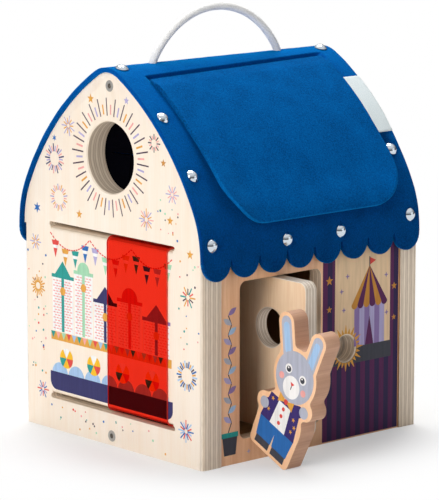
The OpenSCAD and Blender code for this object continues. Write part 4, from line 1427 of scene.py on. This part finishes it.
# %% Stage on the front wall
WALL_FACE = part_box("front_wall")[0].y / MM
front_print = PrintedFace("front_print", "house", lambda u, v, h: Vector((u, WALL_FACE - h, v)))
STAGE_X0, STAGE_X1, STAGE_FOOT, STAGE_TOP, STRIPE = 9.0, 74.2, 0.8, 136, 4.1
PANEL_X0, PANEL_X1 = 19.4, 67
PEEP, PEEP_EDGE = (28.8, 57.8), 9.1
TABLE_Z0, TABLE_Z1, TABLE_X0, TABLE_X1 = 47.5, PEEP[1], PANEL_X0 - 2, PANEL_X1 + 1

stripe_count = round((STAGE_X1 - STAGE_X0) / STRIPE)
stripe_w = (STAGE_X1 - STAGE_X0) / stripe_count
for k in range(stripe_count):
    stripe_ink = ("maroon", "midnight")[k % 2]
    u0, u1 = STAGE_X0 + k * stripe_w, STAGE_X0 + (k + 1) * stripe_w
    front_print.add(stripe_ink, box_of(u0, STAGE_FOOT, u1, TABLE_Z0))
    for a, b in ((u0, min(u1, PANEL_X0)), (max(u0, PANEL_X1), u1)):
        if a < b:
            front_print.add(stripe_ink, box_of(a, TABLE_Z0, b, STAGE_TOP))
over_hole = arc_of(*PEEP, PEEP_EDGE, 180, 0)
under_hole = arc_of(*PEEP, PEEP_EDGE, 0, -180)
front_print.add("cream", [
    (PANEL_X0, TABLE_Z1), *over_hole, (PANEL_X1, TABLE_Z1), (PANEL_X1, STAGE_TOP), (PANEL_X0, STAGE_TOP),
], 2)
front_print.add("slate", [
    (TABLE_X1, TABLE_Z1), *under_hole, (TABLE_X0, TABLE_Z1), (TABLE_X0, TABLE_Z0), (TABLE_X1, TABLE_Z0),
], 3)
print("stripes:", stripe_count)

# %% [markdown]
# A striped tent stands on the table, with stars round it, and a ring of gold rays circles the peep
# hole. The tent is drawn in wedges that meet at its tip, so its stripes narrow as real canvas does.

# %% Tent and rays on the front wall
TENT_X, TENT_HALF, TENT_EAVE, TENT_TIP, WEDGES, TENT_WALL = 49, 15.5, 84, 108, 6, 0.84
for k in range(WEDGES):
    canvas_ink, wall_ink = (("amber", "lilac"), ("maroon", "lavender"))[k % 2]
    a, b = (TENT_X - TENT_HALF + 2 * TENT_HALF * m / WEDGES for m in (k, k + 1))
    front_print.add(canvas_ink, [(a, TENT_EAVE), (b, TENT_EAVE), (TENT_X, TENT_TIP)], 3)
    wall_a, wall_b = (TENT_X + (m - TENT_X) * TENT_WALL for m in (a, b))
    front_print.add(wall_ink, box_of(wall_a, TABLE_Z1, wall_b, TENT_EAVE), 3)
    front_print.add(canvas_ink, arc_of((a + b) / 2, TENT_EAVE, (b - a) / 2, 180, 360, 8), 4)
front_print.add("maroon", [(TENT_X - 3.6, TABLE_Z1), (TENT_X + 3.6, TABLE_Z1), (TENT_X, TENT_EAVE - 8)], 4)
front_print.add("coral", [(TENT_X, TENT_TIP), (TENT_X, TENT_TIP + 5), (TENT_X + 5.5, TENT_TIP + 2.5)], 3)
front_print.add("slate", stroke((TENT_X, TENT_TIP - 1), (TENT_X, TENT_TIP + 5.4), 0.8), 4)
for u, v, r in ((14.5, 102, 3.2), (14.5, 84, 2.4), (70.5, 92, 2.6), (70.5, 72, 2.0)):
    front_print.add("amber", star(u, v, r), 3)
for u, v in ((25, 94), (30, 103), (27, 82), (63.5, 100), (64, 76)):
    front_print.add("lilac", star(u, v, 1.9, 4, 0.35), 3)

PEEP_RAYS, PEEP_NEAR, PEEP_FAR, PEEP_STEP, PEEP_W, PEEP_TAPER = 24, 9.2, 14.6, 2.2, 2.3, 0.12
for k in range(PEEP_RAYS):
    far = PEEP_FAR if k % 2 == 0 else PEEP_FAR - PEEP_STEP
    front_print.add("ochre", spoke(*PEEP, 360 * k / PEEP_RAYS, PEEP_NEAR, far, PEEP_W, PEEP_TAPER), 5)
print("tent wedges and peep rays:", WEDGES, PEEP_RAYS)

# %% [markdown]
# On the narrow strip left of the doorway a plant climbs out of a pot. Its stem bends to and fro and
# a leaf grows at each bend, so one loop draws both.

# %% Plant on the front wall
STEM_X, STEM_Z0, STEM_Z1, STEM_BEND, STEM_W, LEAVES = -67.3, 20, 92, 1.3, 0.7, 12
LEAF_REACH, LEAF_RISE, LEAF_HALF, LEAF_SIDE_STEPS = 6.4, 4.2, 1.7, 6
LEAF_INKS = ("lavender", "sky", "grey", "lilac")


def leaf(root, tip, half):
    """Pointed oval from its root to its tip."""
    run = Vector((tip[0] - root[0], tip[1] - root[1]))
    side = Vector((-run.y, run.x)).normalized() * half

    def rim(k, way):
        """Point of one rim, k steps of the way from the root to the tip."""
        share = k / LEAF_SIDE_STEPS
        return tuple(Vector(root) + run * share + way * side * math.sin(math.pi * share))

    there = [rim(k, 1) for k in range(LEAF_SIDE_STEPS + 1)]
    return there + [rim(k, -1) for k in range(LEAF_SIDE_STEPS - 1, 0, -1)]


for k in range(LEAVES):
    low, high = (STEM_Z0 + (STEM_Z1 - STEM_Z0) * m / LEAVES for m in (k, k + 1))
    side = 1 if k % 2 else -1
    bend = side * STEM_BEND
    front_print.add("slate", stroke((STEM_X + bend, low), (STEM_X - bend, high), STEM_W))
    root = (STEM_X - bend, high)
    tip = (root[0] + side * LEAF_REACH, high + LEAF_RISE)
    front_print.add(LEAF_INKS[k % len(LEAF_INKS)], leaf(root, tip, LEAF_HALF), 2)
front_print.add("slate", [(STEM_X - 4.6, 6), (STEM_X + 4.6, 6), (STEM_X + 6, 17), (STEM_X - 6, 17)])
front_print.add("teal", box_of(STEM_X - 6.6, 17, STEM_X + 6.6, 20), 2)
for u, v in ((-52, 6), (-44, 9), (-34, 5.5), (1, 8), (-8, 5)):
    front_print.add("lavender", star(u, v, 1.6, 4, 0.35))
front_print.build()
print("inks on the front wall:", len(front_print.used))

# %% [markdown]
# ## Loose figure
# The figure is sawn from a thick board: plain brown wood round the edge, a printed face with a
# peach border. It is an eased copy of the CAD outline.

# %% Figure
FIGURE_EASE = 0.6 * MM
figure_edge = birch_face("figure_edge", "cb9d7f", "b4866a", along=0, roughness=0.65)
figure_face = birch_face("figure_border", "f9cba1", "f3be90", roughness=0.5)
figure_finishes = (figure_face, figure_edge, figure_face)
figure = eased_copy("rabbit_figure", "figure_body", "figure", FIGURE_EASE, 0, figure_finishes)
print("figure faces:", len(figure.data.polygons))

# %% [markdown]
# The printed rabbit is drawn in the figure's own leaning frame, with u across it and v up it from
# its feet. The frame's origin repeats how the CAD source leans the figure against the sill.

# %% The figure's own frame
LEAN, FOOT_R, FOOT_U = 25, 4, 14
SILL_Z, FIGURE_GAP = 14.3, 0.4
lean_c, lean_s = toward(LEAN)
foot_rise = FOOT_R + 2 * FOOT_U * lean_s
foot_reach = math.sqrt((FOOT_R + FIGURE_GAP) ** 2 - max(0, foot_rise - SILL_Z) ** 2)
figure_y = WALL_FACE - foot_reach - FOOT_U * lean_c + FOOT_R * lean_s
figure_z = FOOT_R + FOOT_U * lean_s - FOOT_R * lean_c
figure_x0, figure_x1 = (corner.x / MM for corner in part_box("rabbit_figure"))


def on_figure(x):
    """Placing function for a face of the figure; u runs to the house and v up the figure."""
    out = -1 if x < (figure_x0 + figure_x1) / 2 else 1
    return lambda u, v, h: Vector((
        x + out * h, figure_y + u * lean_c - v * lean_s, figure_z + u * lean_s + v * lean_c,
    ))


print("figure foot at depth and height in mm:", round(figure_y, 2), round(figure_z, 2))

# %% [markdown]
# The rabbit has a grey head and ears, a starry violet coat, blue trousers and dark shoes, inside the
# peach border. Front and back share the outline's parts, and only the front has a face and buttons.

# %% Print the figure
BORDER = 2.3
HEAD_R, HEAD_V, EAR_OFF, EAR_R, EAR_LEN, EAR_LEAN, EAR_STAND = 18.5, 57, 8.3, 6.5, 24, 30, 0
ARM_R, ARM_LEN, ARM_V, HIGH_ARM, LOW_ARM = 6, 18, 35, 66, 112
SHOE_V, LEG_V, COAT_V, COLLAR_V, BOW_V = 2.2, 7, 20, 38, 39.4


def limb(u, v, lean, r, length):
    """Round-ended limb that starts at a point and leans to the left by an angle."""
    along = toward(90 + lean)
    tip = (u + length * along.x, v + length * along.y)
    return arc_of(u, v, r, 180 + lean, 360 + lean) + arc_of(*tip, r, lean, 180 + lean)


def print_body(face, front):
    """Ears, arms, shoes and clothes."""
    ear_v = HEAD_V + HEAD_R - 2 * EAR_R
    for u, lean in ((-EAR_OFF, EAR_STAND), (EAR_OFF, -EAR_LEAN)):
        face.add("grey", limb(u, ear_v, lean, EAR_R - BORDER, EAR_LEN), 1)
        if front:
            inside = Vector((u, ear_v)) + 8 * toward(90 + lean)
            face.add("sky", limb(*inside, lean, EAR_R - BORDER - 1.7, EAR_LEN - 10), 2)
    face.add("violet", limb(0, ARM_V, HIGH_ARM, ARM_R - BORDER, ARM_LEN - 5), 2)
    face.add("violet", limb(0, ARM_V, -LOW_ARM, ARM_R - BORDER, ARM_LEN - 5), 3)
    for lean in (HIGH_ARM, -LOW_ARM):
        hand = toward(90 + lean) * (ARM_LEN - 1)
        face.add("grey", disc(hand.x, ARM_V + hand.y, ARM_R - BORDER), 4)
    face.add("slate", box_of(-13.5, SHOE_V, -1.2, LEG_V), 1)
    face.add("slate", box_of(1.2, SHOE_V, 13.5, LEG_V), 1)
    face.add("blue", [(-14, LEG_V), (14, LEG_V), (15.6, COAT_V), (-15.6, COAT_V)], 1)
    face.add("cream", [(-0.7, LEG_V), (0.7, LEG_V), (0, 15)], 2)
    face.add("violet", [(-15.8, COAT_V), (15.8, COAT_V), (13.4, COLLAR_V), (-13.4, COLLAR_V)], 1)
    if front:
        face.add("white", [(-7, COAT_V), (7, COAT_V), (5.4, COLLAR_V - 1), (-5.4, COLLAR_V - 1)], 4)
        for v in (24, 29, 34):
            face.add("coral", disc(0, v, 1.3, 12), 5)
    for u, v in ((-11, 25), (-10, 33), (11, 27), (10.4, 35), (-12.5, 29)):
        face.add("ochre", star(u, v, 1.5), 5)


def print_features(face):
    """Muzzle, eyes, cheeks, nose, mouth and bow tie."""
    face.add("white", disc(0, HEAD_V - 7, 7.2, 28), 7)
    for side in (-1, 1):
        face.add("white", disc(side * 6.6, HEAD_V + 2.5, 3.0, 20), 7)
        face.add("slate", disc(side * 6.4, HEAD_V + 2.3, 1.9, 16), 8)
        face.add("white", disc(side * 6.4 + 0.6, HEAD_V + 3.0, 0.6, 10), 9)
        face.add("pink", disc(side * 10.2, HEAD_V - 4.6, 2.2, 16), 8)
    face.add("coral", [(-1.8, HEAD_V - 4), (1.8, HEAD_V - 4), (0, HEAD_V - 6.2)], 9)
    face.add("slate", stroke((0, HEAD_V - 6), (0, HEAD_V - 8.6), 0.6), 8)
    for side in (-1, 1):
        face.add("ochre", [(0, BOW_V), (side * 6.5, BOW_V + 3.2), (side * 6.5, BOW_V - 3.2)], 7)
    face.add("coral", disc(0, BOW_V, 1.7, 14), 8)


for name, x, front in (("figure_print_front", figure_x0, True), ("figure_print_back", figure_x1, False)):
    face = PrintedFace(name, "figure", on_figure(x))
    print_body(face, front)
    face.add("grey", disc(0, HEAD_V, HEAD_R - BORDER, 40), 6)
    if front:
        print_features(face)
    else:
        face.add("white", disc(0, 22, 5.5, 24), 2)
    face.build()
    print(name, "inks:", len(face.used))
